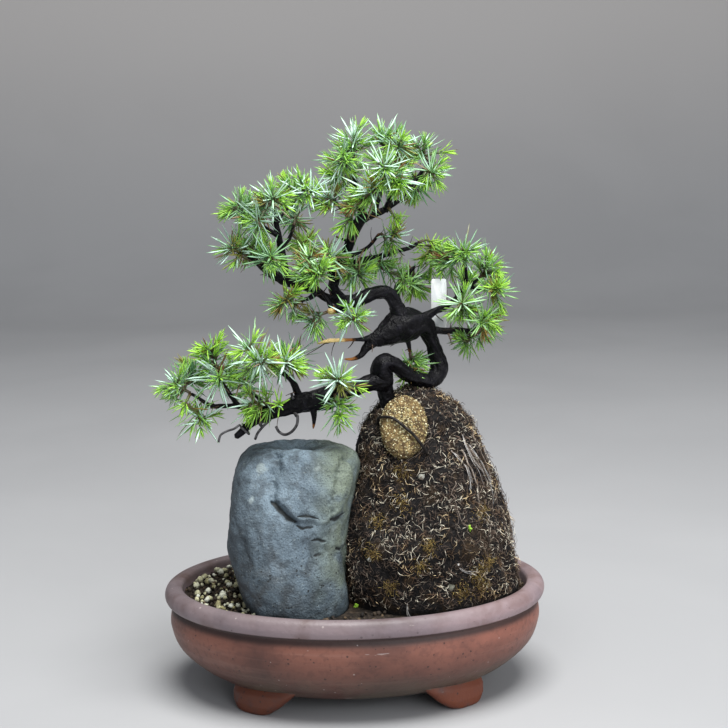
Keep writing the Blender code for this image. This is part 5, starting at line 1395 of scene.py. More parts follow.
@dataclass
class RootMound:
    """Peat and matted roots: a crumbly body, many short rootlets, long roots, moss and sprouts."""

    voxel: float = 0.00125
    rootlet_count: int = 7300
    rootlet_lengths: Pair = (0.0016, 0.0044)
    rootlet_radii: Pair = (0.00010, 0.00020)
    rootlet_lift: Pair = (0.0003, 0.0014)
    loose_share: float = 0.22
    long_roots: int = 20
    long_root_steps: int = 26
    long_root_radii: Pair = (0.00012, 0.00026)
    hairs_in_strand: int = 5
    hair_radii: Pair = (0.00012, 0.00025)
    blades_in_patch: int = 150
    blade_lengths: Pair = (0.0009, 0.0030)
    blade_radius: float = 0.00020
    leaves_in_sprout: int = 5
    leaf_length: float = 0.0026
    leaf_radius: float = 0.00075
    loose_grains: int = 150
    loose_radii: Pair = (0.0002, 0.0006)
    smoothing: int = 12
    seed: int = 67
    moss_spots: Rows = (
        (240, 1290, 34), (233, 1130, 36), (110, 1030, 32), (660, 1050, 32), (75, 880, 30), (370, 925, 32),
        (320, 820, 36), (620, 755, 40), (675, 800, 32), (540, 665, 36), (650, 690, 34), (170, 700, 30))
    white_bits: Rows = (
        (344, 1259, 30), (487, 696, 22), (64, 844, 14))
    sprouts: Rows = (
        (578, 1000), (0, 575))
    grey_strands: tuple[Rows, ...] = (
        ((589, -300, 1458), (661, -280, 1298), (718, -240, 1163)),
        ((600, -340, 1400), (650, -340, 1300), (672, -340, 1180), (665, -360, 1090)),
        ((560, -380, 1420), (620, -380, 1290), (640, -400, 1200)),
        ((640, -280, 1395), (700, -260, 1265), (740, -240, 1150), (745, -240, 1050)),
        ((508, -500, 820), (550, -500, 781), (629, -500, 762)),
        ((255, -500, 610), (249, -500, 556), (270, -500, 528)))
    front: float = -0.15

    def body(self) -> Mesh:
        """Crumbly body: the frame's form remeshed, plus noise of 9, 3.4 and 1.7 millimetres."""
        mesh = refined(frame_mesh("root_mound"), "REMESH", mode="VOXEL", voxel_size=self.voxel)
        ground = Ground.of(mesh)
        depth = (
            0.0009 * value_noise(ground.points, 0.009, 71) + 0.0008 * value_noise(ground.points, 0.0034, 72)
            + 0.0005 * value_noise(ground.points, 0.0017, 73))
        calm = smoothstep(ground.points[:, 2], 0.055, 0.064)
        place_points(mesh, ground.points + ground.normals * (depth * calm)[:, None])
        return mesh

    def rootlets(self, ground: Ground, draw: Draw, tone: Pair) -> Surface:
        """Short curly rootlets that lie on the peat: point + t * heading + t squared * bend, then settled.

        Args:
            ground: Surface of the peat.
            draw: Source of chance.
            tone: Darkest and lightest tone.

        Returns:
            All of them as thin tubes.
        """
        outer = np.flatnonzero((ground.points[:, 2] > 0.059) & self.bare(ground))
        pick = draw.choice(outer, self.rootlet_count)
        start, normal = ground.points[pick], ground.normals[pick]
        heading = unit(np.cross(normal, draw.normal(size=start.shape)))
        heading = unit(heading + np.array((0.0, 0.0, -0.35)))
        bend = unit(np.cross(normal, heading)) * draw.normal(0.0, 0.30, (len(pick), 1))
        length = self.rootlet_lengths[0] + self.rootlet_lengths[1] * draw.uniform(0.0, 1.0, len(pick)) ** 2.0
        share = np.linspace(-0.5, 0.5, 3)
        paths = reached(start, heading, length[:, None] * share)
        paths += (length[:, None] * share ** 2)[:, :, None] * bend[:, None] * 1.6
        lift = draw.uniform(*self.rootlet_lift, (len(pick), 1)) * (1.0 - 4.4 * share ** 2) + 0.0001
        loose = draw.uniform(0.0, 1.0, (len(pick), 1)) < self.loose_share
        loose = loose * (share + 0.5) * length[:, None] * 0.55
        settled = ground.settle(paths.reshape(-1, 3), (lift + loose).ravel()).reshape(paths.shape)
        shade = smoothstep(layered_noise(start, 0.009, 91, 3), -0.55, 0.60)[:, None]
        thick = draw.uniform(*self.rootlet_radii, (len(pick), 1)) * (1.0 - 0.5 * np.abs(2 * share))
        thick = thick * (0.68 + 0.40 * shade)
        shade = shade * (0.70 + 0.30 * smoothstep(start[:, 2:], 0.060, 0.090))
        chance = draw.uniform(0.0, 1.0, (len(pick), 1)) ** 1.8
        tones = tone[0] + (tone[1] - tone[0]) * chance * (0.36 + 0.72 * shade)
        return strands(settled, thick, 3, tone=tones)

    def bare(self, ground: Ground) -> Array:
        """True where the peat isn't pressed against the stone."""
        inner = (ground.points[:, 1] > -0.017) & (ground.points[:, 1] < 0.036)
        return ~((ground.points[:, 0] < 0.005) & (ground.normals[:, 0] < -0.6) & inner)

    def running_roots(self, ground: Ground, draw: Draw) -> Surface:
        """Long roots that wander down the mound, thicker at the right, each a settled random walk."""
        turn = np.radians(draw.uniform(-110.0, 90.0, self.long_roots))
        top = draw.uniform(0.105, 0.160, self.long_roots)
        fall = draw.uniform(0.018, 0.055, self.long_roots)
        share = np.linspace(0.0, 1.0, self.long_root_steps)
        height = np.maximum(top[:, None] - fall[:, None] * share, 0.061)
        sway = np.cumsum(draw.normal(0.0, 0.035, (self.long_roots, self.long_root_steps)), axis=1)
        angle = turn[:, None] + sway
        middle = np.array((0.042, -0.006))
        wide = 0.060 * (1.0 - smoothstep(height, 0.06, 0.20)) + 0.012
        across, deep = middle[0] + wide * np.cos(angle), middle[1] + wide * np.sin(angle)
        places = np.stack((across, deep, height), axis=-1)
        lift = 0.0002 + 0.0008 * np.abs(np.sin(share * 9.0 + turn[:, None] * 7.0))
        settled = eased(ground.settle(places.reshape(-1, 3), lift.ravel()).reshape(places.shape), 2)
        thick = draw.uniform(*self.long_root_radii, (self.long_roots, 1)) * (1.1 - 0.7 * share)
        return strands(settled, thick, 5, tone=draw.uniform(0.0, 0.5, (self.long_roots, 1)))

    def hanging_strands(self, ground: Ground, draw: Draw) -> Surface:
        """Grey dead strands: each is a bundle of five that part a little on the way down."""
        hairs = []
        for bundle in self.grey_strands:
            route = smooth_route(tenths(bundle), 0.0008)
            share = np.linspace(0.0, 1.0, len(route))
            for _ in range(self.hairs_in_strand):
                drift = draw.normal(0.0, 0.0016, 3) * share[:, None] + draw.normal(0.0, 0.0003, 3)
                wave = 0.0005 * value_noise(route + draw.uniform(0.0, 1.0), 0.004, 61)[:, None]
                lift = 0.0003 + 0.0009 * np.sin(share * math.pi) * draw.uniform(0.3, 1.0)
                path = eased(ground.settle(route + drift + wave, lift), self.smoothing)
                thick = draw.uniform(*self.hair_radii) * (1.05 - 0.6 * share)
                hairs.append(strands(path[None], thick, 5, tone=draw.uniform(0.35, 1.0)))
        return joined(hairs)

    def on_front(self, ground: Ground, spots: Array) -> Array:
        """Indices of the surface points on the front that are nearest to given places across and up."""
        facing = np.flatnonzero(ground.normals[:, 1] < self.front)
        flat = ground.points[facing][:, (0, 2)]
        return facing[[int(np.argmin(np.sum((flat - spot) ** 2, axis=1))) for spot in spots[:, :2]]]

    def moss(self, ground: Ground, draw: Draw) -> Surface:
        """Patches of short tapering blades that stand out from the peat."""
        spots = np.repeat(tenths(self.moss_spots), self.blades_in_patch, axis=0)
        spread = draw.normal(0.0, 0.62, (len(spots), 2)) * spots[:, 2:]
        root = ground.points[self.on_front(ground, spots[:, :2] + spread)]
        index = ground.nearest(root + draw.normal(0.0, 0.0004, root.shape))
        normal = ground.normals[index]
        heading = unit(0.8 * normal + draw.normal(0.0, 0.7, normal.shape))
        share = np.linspace(0.0, 1.0, 3)
        length = draw.uniform(*self.blade_lengths, len(index))
        paths = reached(ground.points[index], heading, length[:, None] * share)
        paths[:, :, 2] -= 0.0004 * share ** 2
        thick = self.blade_radius * (1.0 - 0.85 * share)
        return strands(paths, thick, 3, tone=draw.uniform(0.0, 1.0, (len(index), 1)))

    def sprout_leaves(self, ground: Ground, draw: Draw) -> Surface:
        """Two small green seedlings, each with a few oval leaves."""
        index = np.repeat(self.on_front(ground, tenths(self.sprouts)), self.leaves_in_sprout)
        heading = unit(ground.normals[index] + draw.normal(0.0, 0.8, (len(index), 3)))
        share = np.linspace(0.0, 1.0, 6)
        paths = ground.points[index][:, None] + self.leaf_length * share[:, None] * heading[:, None]
        thick = self.leaf_radius * np.sin(np.clip(share * 0.92 + 0.06, 0.0, 1.0) * math.pi) ** 0.8
        return strands(paths, thick, 6, tone=0.5)

    def bits(self, ground: Ground, draw: Draw) -> Surface:
        """Pale grains caught among the roots: three large ones and a scatter of tiny ones."""
        spots = tenths(self.white_bits)
        index = self.on_front(ground, spots[:, :2])
        loose = draw.choice(
            np.flatnonzero((ground.points[:, 2] > 0.062) & self.bare(ground)), self.loose_grains)
        radii = np.concatenate((spots[:, 2], draw.uniform(*self.loose_radii, len(loose))))
        index = np.concatenate((index, loose))
        return lumps(ground.sunk(index, radii), radii, draw, 0.34)

    def build(self) -> None:
        """Shape and dress the mound and everything that grows on it."""
        draw = np.random.default_rng(self.seed)
        mesh = self.body()
        peat = EarthFinish(
            "peat_finish", (0.004, 0.0035, 0.004), (0.017, 0.014, 0.013), (0.070, 0.042, 0.018), 0.45)
        add_piece("peat_mound", mesh, peat.material(), "root_mat", "root_mound")
        ground = Ground.of(mesh)
        straw = TonedFinish(
            "rootlet_finish", (0.014, 0.010, 0.010), (0.215, 0.150, 0.112), (0.980, 0.910, 0.740),
            0.7, 1200.0, 0.0001, (1.08, 0.90, 0.64)).material()
        for number, tone in enumerate(((0.0, 0.60), (0.26, 1.70))):
            add_piece(f"rootlets_{number + 1}", self.rootlets(ground, draw, tone), straw, "root_mat")
        dead = TonedFinish(
            "running_root_finish", (0.050, 0.035, 0.027), (0.300, 0.240, 0.195), (0.620, 0.610, 0.600),
            0.65, 700.0, 0.0002).material()
        green = TonedFinish(
            "moss_finish", (0.070, 0.041, 0.014), (0.310, 0.200, 0.060), (0.700, 0.540, 0.180))
        leaf = TonedFinish(
            "sprout_finish", (0.200, 0.420, 0.030), (0.380, 0.680, 0.060), (0.380, 0.680, 0.060), 0.45)
        pale = TonedFinish(
            "pale_bit_finish", (0.180, 0.180, 0.140), (0.360, 0.360, 0.300), (0.640, 0.640, 0.590))
        for name, grown, finish, slot in (
                ("running_roots", self.running_roots, dead, "root_mat"),
                ("hanging_strands", self.hanging_strands, dead, "root_mat"),
                ("moss_patches", self.moss, green.material(), "root_mat"),
                ("sprouts", self.sprout_leaves, leaf.material(), "new_needles"),
                ("pale_bits", self.bits, pale.material(), "pumice")):
            add_piece(name, grown(ground, draw), finish, slot)


@dataclass
class Wood:
    """Trunk, loop, spikes, limbs and twigs as gnarled tubes, with small dry twigs on them."""

    coarse_pitch: float = 0.0082
    fine_pitch: float = 0.0009
    twiglet_count: int = 130
    twiglet_lengths: Pair = (0.004, 0.011)
    twiglet_radii: Pair = (0.00025, 0.00048)
    twist: float = 45.0
    seed: int = 83
    collars: dict[str, float] = field(default_factory=lambda: {"stem": 0.0, "low_limb": 0.10, "arm": 0.15})
    dead: dict[str, tuple[float, float, float]] = field(default_factory=lambda: {
        "dead_spike_upper": (0.18, 0.72, 1.0), "dead_spike_lower": (0.45, 1.00, 0.55),
        "arm": (0.90, 0.96, 0.85), "low_spike": (0.55, 1.0, 0.35), "thin_stub": (0.6, 1.0, 0.2),
        "broken_twig": (0.2, 1.0, 0.3), "dead_twig": (0.4, 1.0, 0.25), "loop_twig": (0.3, 1.0, 0.3)})
    curls: tuple[Rows, ...] = (
        ((45, 10, 2545), (10, -35, 2528), (-8, -48, 2492), (8, -50, 2462), (30, -45, 2470), (32, -42, 2493),
         (16, -40, 2500), (8, -38, 2488)),
        ((-510, -115, 2372), (-560, -140, 2395), (-600, -155, 2440), (-618, -160, 2490), (-612, -160, 2540)))

    def route(self, limb: str, pitch: float) -> tuple[Array, Array]:
        """Places and radii along a limb."""
        route = smooth_route(tenths(LIMBS[limb]), pitch)
        return route[:, :3], np.maximum(route[:, 3], 0.0003)

    def spans(self) -> Array:
        """All the limbs as straight stretches: start, end, radius at the start and at the end."""
        rows = []
        for limb in LIMBS:
            points, radii = self.route(limb, self.coarse_pitch)
            rows.append(np.column_stack((points[:-1], points[1:], radii[:-1], radii[1:])))
        return np.vstack(rows)

    def limb(self, name: str, seed: int) -> Surface:
        """One limb with its bark.

        Radius = route's radius * (1 + collar + knots + ridges) + flakes. The collar fades from the limb's
        root, the knots are noise of two limb widths, the ridges are noise drawn out along the limb and
        twisted round it, and the flakes are fine noise in space.

        Args:
            name: Limb of the table.
            seed: Picks the noise.

        Returns:
            A closed tube with numbers for ridges and dead wood.
        """
        middle, radii = self.route(name, self.fine_pitch)
        widest = float(radii.max())
        sides = int(np.clip(round(widest / 0.00011), 10, 56))
        _, across, second = carried_frames(middle)
        reach = lengths_of(middle)
        share = reach / reach[-1]
        turn = np.arange(sides) / sides * math.tau
        ring = circle(sides)
        spokes = ring[None, :, :1] * across[:, None] + ring[None, :, 1:] * second[:, None]
        plain = middle[:, None] + radii[:, None, None] * spokes
        spots = plain.reshape(-1, 3)
        twisted = turn[None, :] + (reach * self.twist)[:, None]
        drawn = np.broadcast_to(reach[:, None] / (1.6 * widest + 0.003), twisted.shape)
        grid = np.stack((np.cos(twisted) * 1.7, np.sin(twisted) * 1.7, drawn), axis=-1).reshape(-1, 3)
        ridges = value_noise(grid, 1.0, seed) + 0.6 * value_noise(grid * 2.1, 1.0, seed + 1)
        ridges = ridges.reshape(twisted.shape)
        flakes = layered_noise(spots, 0.0032, seed + 4, 2).reshape(twisted.shape)
        knots = value_noise(spots, 2.2 * widest + 0.002, seed + 2).reshape(twisted.shape)
        collar = self.collars.get(name, 0.40) * np.exp(-reach / max(0.0025, 1.4 * float(radii[0])))
        strength = 0.13 + 0.06 * min(1.0, widest / 0.006)
        size = radii[:, None] * (1.0 + collar[:, None] + 0.13 * knots + strength * ridges)
        size = size + np.minimum(0.00045, 0.13 * radii)[:, None] * flakes
        tip = np.clip((reach[-1] - reach) / (0.9 * radii[-1] + 1e-6), 0.0, 1.0)
        size = size * np.sqrt(np.clip(1.0 - (1.0 - tip) ** 2, 0.03, 1.0))[:, None]
        rings = middle[:, None] + size[:, :, None] * spokes
        start, full, strength_of_dead = self.dead.get(name, (2.0, 3.0, 0.0))
        dead = smoothstep(share, start, full) * strength_of_dead
        values = {
            "ridge": smoothstep(ridges + 0.4 * flakes, 0.25, 1.1) * 0.85,
            "dead": np.broadcast_to(dead[:, None], ridges.shape)}
        return lofted(rings, values)

    def twiglets(self, draw: Draw) -> Surface:
        """Small dry twigs that stick out of the thinner limbs, each bent once on its way."""
        rows = self.spans()
        rows = rows[(rows[:, 6] < 0.0030) & (rows[:, 2] > 0.155)]
        pick = draw.integers(0, len(rows), self.twiglet_count)
        share = draw.uniform(0.0, 1.0, (self.twiglet_count, 1))
        root = rows[pick, :3] + (rows[pick, 3:6] - rows[pick, :3]) * share
        along = unit(rows[pick, 3:6] - rows[pick, :3])
        heading = unit(np.cross(along, draw.normal(size=root.shape)) + 0.5 * along)
        bend = unit(draw.normal(size=root.shape))
        length = draw.uniform(*self.twiglet_lengths, (self.twiglet_count, 1))
        steps = np.linspace(0.0, 1.0, 6)
        paths = reached(root, heading, length * steps)
        paths += bend[:, None] * (0.28 * length * steps ** 2)[:, :, None]
        thick = draw.uniform(*self.twiglet_radii, (self.twiglet_count, 1)) * (1.0 - 0.65 * steps)
        return strands(paths, thick, 6, tone=draw.uniform(0.0, 1.0, (self.twiglet_count, 1)))

    def build(self) -> None:
        """Shape and dress the wood."""
        limbs = joined([self.limb(name, 100 + 3 * index) for index, name in enumerate(LIMBS)])
        add_piece("gnarled_wood", limbs, BarkFinish().material(), "bark", "trunk")
        draw = np.random.default_rng(self.seed)
        small = [self.twiglets(draw)]
        for curl in self.curls:
            path = smooth_route(tenths(curl), 0.0007)
            small.append(strands(path[None], np.linspace(0.00050, 0.00028, len(path)), 6, tone=0.75))
        dry = TonedFinish(
            "dry_twig_finish", (0.022, 0.015, 0.012), (0.085, 0.050, 0.032), (0.200, 0.135, 0.100))
        add_piece("dry_twiglets", joined(small), dry.material(), "bark")


@dataclass
class FertilizerCake:
    """Pressed granular tablet on the mound, and the staple over it."""

    centre: Point = (0.0260, -0.0285, 0.1500)
    half_width: float = 0.0125
    half_height: float = 0.0170
    mean_half: float = 0.015
    sides: int = 150
    sink: float = 0.004
    tilt: float = math.radians(27.0)
    turn: float = math.radians(6.0)
    profile: tuple[Pair, ...] = (
        (0.86, 0.0000), (0.95, 0.0008), (1.00, 0.0024), (1.00, 0.0056), (0.96, 0.0074), (0.86, 0.0088),
        (0.66, 0.0097), (0.40, 0.0101), (0.06, 0.0103))
    pin_radius: float = 0.0008
    pin_sides: int = 14
    pin_route: Rows = (
        (-138, 40, -80), (-138, 40, 20), (-124, 40, 90), (-60, 30, 116), (0, -15, 120), (60, -70, 116),
        (108, -128, 82), (128, -152, 20), (128, -152, -80))
    granule_count: int = 1250
    granule_radii: Pair = (0.00024, 0.00046)
    seed: int = 97

    def axes(self) -> tuple[Array, Array]:
        """Middle of the back face, and the across, up and outward directions as rows."""
        across = np.array((math.cos(self.turn), -math.sin(self.turn), 0.0))
        level_out = np.array((-math.sin(self.turn), -math.cos(self.turn), 0.0))
        upward = np.array((0.0, 0.0, 1.0))
        outward = math.cos(self.tilt) * level_out + math.sin(self.tilt) * upward
        up = math.cos(self.tilt) * upward - math.sin(self.tilt) * level_out
        return np.array(self.centre) - outward * self.sink, np.stack((across, up, outward))

    def tablet(self) -> Surface:
        """Domed oval: sections share * (half width * cos a, half height * sin a), roughened by noise."""
        origin, directions = self.axes()
        profile = np.pad(np.array(self.profile) * (self.mean_half, 1.0), ((0, 0), (0, 1)))
        profile = smooth_route(profile, 0.00045)
        share, height = profile[:, 0] / self.mean_half, profile[:, 1]
        oval = circle(self.sides) * (self.half_width, self.half_height)
        local = np.empty((len(share), self.sides, 3))
        local[:, :, :2] = share[:, None, None] * oval
        local[:, :, 2] = height[:, None]
        points = origin + local.reshape(-1, 3) @ directions
        away = unit(local - np.array((0.0, 0.0, 0.005))).reshape(-1, 3) @ directions
        depth = 0.00030 * value_noise(points, 0.0019, 5) + 0.00026 * value_noise(points, 0.0009, 6) - 0.0002
        return lofted((points + away * depth[:, None]).reshape(local.shape))

    def granules(self, ground: Ground, draw: Draw) -> Surface:
        """Coarse grains half sunk in the tablet's face and side."""
        origin, directions = self.axes()
        height = (ground.points - origin) @ directions[2]
        pick = draw.choice(np.flatnonzero(height > 0.0030), self.granule_count)
        chance = draw.uniform(0.0, 1.0, self.granule_count)
        radii = self.granule_radii[0] + self.granule_radii[1] * chance ** 2
        return lumps(ground.sunk(pick, radii), radii, draw, 0.35)

    def build(self) -> None:
        """Press the tablet and bend its staple."""
        draw = np.random.default_rng(self.seed)
        tablet = self.tablet().mesh("cake_tablet")
        ground = Ground.of(tablet)
        pressed = EarthFinish(
            "cake_finish", (0.080, 0.050, 0.024), (0.360, 0.260, 0.115), (0.200, 0.130, 0.050), 0.5)
        add_piece("cake_tablet", tablet, pressed.material(), "fertilizer_cake", "fertilizer_cake")
        grains = TonedFinish("cake_granule_finish", (0.036, 0.023, 0.009), (0.460, 0.375, 0.165),
                             (0.980, 0.920, 0.620), 0.8, 1500.0, 0.0002)
        add_piece("cake_granules", self.granules(ground, draw), grains.material(),
                  "fertilizer_cake")
        origin, directions = self.axes()
        path = origin + smooth_route(tenths(self.pin_route), 0.0006) @ directions
        pin = strands(path[None], self.pin_radius, self.pin_sides)
        metal = MetalFinish("pin_finish", (0.030, 0.026, 0.024), (0.012, 0.010, 0.009))
        add_piece("cake_staple", pin, metal.material(), "dark_wire", "cake_pin")


@dataclass
class Label:
    """Blank narrow plastic strip with rounded corners and a faint bow."""

    size: Point = (0.0085, 0.0008, 0.0290)
    centre: Point = (0.0484, 0.0068, 0.2098)
    sides: int = 96
    power: float = 0.16

    def build(self) -> None:
        """Cut the strip: its outline is x = w * |cos a|^0.16, z = h * |sin a|^0.16 with the signs kept."""
        outline = circle(self.sides)
        outline = np.sign(outline) * np.abs(outline) ** self.power * (self.size[0] / 2, self.size[2] / 2)
        layers = []
        for depth, shrink in ((0.5, 0.00018), (0.35, 0.0), (-0.35, 0.0), (-0.5, 0.00018)):
            bow = 0.00015 * (outline[:, 1] / (self.size[2] / 2)) ** 2
            ring = outline * (1.0 - shrink / np.array((self.size[0], self.size[2])) * 2)
            layers.append(np.column_stack((ring[:, 0], depth * self.size[1] + bow, ring[:, 1])))
        strip = lofted(np.array(layers) + np.array(self.centre))
        white = PlasticFinish("label_finish", (0.930, 0.950, 0.980), (0.800, 0.790, 0.760), 0.35)
        add_piece("blank_label", strip, white.material(), "label_plastic", "label_strip")


@dataclass
class TrainingWires:
    """Three old wires: one turn round the lower limb and a free tail each."""

    wood: Wood
    steps: int = 34
    seat: float = 0.0008
    pitch: float = 0.0022
    sides: int = 12
    turns: float = 1.55 * math.pi

    def route(self, share: float, wire_radius: float, tail: Array) -> Array:
        """Turn of radius limb + wire + gap about the limb, drawn out along it, and then the tail."""
        points, radii = self.wood.route("low_limb", self.wood.coarse_pitch)
        lengths = lengths_of(points)
        reach = share * lengths[-1]
        centre, ahead = (between(place, lengths, points) for place in (reach, reach + 0.002))
        radius = float(np.interp(reach, lengths, radii)) + wire_radius + self.seat
        tangent = unit(ahead - centre)
        first = tail[0] - centre
        first = unit(first - tangent * np.dot(first, tangent))
        second = np.cross(tangent, first)
        turns = np.linspace(-self.turns, 0.0, self.steps)[:, None]
        along = centre + tangent * self.pitch * turns / math.tau
        coil = along + radius * (np.cos(turns) * first + np.sin(turns) * second)
        return np.vstack((coil, smooth_route(np.vstack((coil[-1], tail)), 0.0007)[1:]))

    def build(self) -> None:
        """Bend and dress the wires."""
        dull = MetalFinish("training_wire_finish", (0.125, 0.122, 0.128), (0.045, 0.042, 0.046)).material()
        for name, (share, wire_radius, tail) in WIRES.items():
            route = self.route(share, wire_radius, tenths(tail))
            wire = strands(route[None], wire_radius, self.sides)
            add_piece(name + "_wound", wire, dull, "grey_wire", name)


@dataclass
class NeedleSet:
    """Needles in the making, one row each."""

    base: Array
    heading: Array
    axis: Array
    length: Array
    age: Array
    dry: Array
    frost: Array

    @classmethod
    def of(cls, sets: list["NeedleSet"]) -> "NeedleSet":
        """Join several sets."""
        names = ("base", "heading", "axis", "length", "age", "dry", "frost")
        return cls(*(np.concatenate([getattr(part, name) for part in sets]) for name in names))

    def surface(self, draw: Draw) -> Surface:
        """Needles as grooved blades that taper to a point.

        The midline is base + length * t * heading + curl * t squared * axis. Each section has a left
        edge, a groove on its upper side, a right edge and a keel below.

        Args:
            draw: Source of chance.

        Returns:
            The needles, with numbers for the pale band, age, dryness and wood.
        """
        share = np.array((0.0, 0.22, 0.74, 1.0))
        wide = np.array((0.68, 1.0, 0.86, 0.06))
        count = len(self.base)
        curl = draw.normal(0.04, 0.07, (count, 1)) * self.length[:, None]
        middle = reached(self.base, self.heading, self.length[:, None] * share)
        middle += (curl * share ** 2)[:, :, None] * self.axis[:, None]
        upper = self.axis - self.heading * dots(self.axis, self.heading)[:, None]
        upper = unit(upper + 0.35 * draw.normal(size=upper.shape) * 0.4)
        side = unit(np.cross(self.heading, upper))
        half = (0.00030 + 0.0160 * self.length) * draw.uniform(0.86, 1.14, count)
        reach = (half[:, None] * wide)[:, :, None]
        left, right = middle - side[:, None] * reach, middle + side[:, None] * reach
        groove, keel = middle - upper[:, None] * reach * 0.10, middle - upper[:, None] * reach * 0.72
        rings = np.stack((left, groove, right, keel), axis=2)
        band = np.outer((0.5, 1.0, 1.0, 0.5), (0.40, 1.0, 0.40, 0.0)) * self.frost[:, None, None]
        return Surface(rings.reshape(-1, 3), tube_faces(*rings.shape[:3]), {
            "band": band.ravel(), "age": np.repeat(self.age, band[0].size),
            "dry": np.repeat(self.dry, band[0].size), "woody": np.zeros(band.size)})


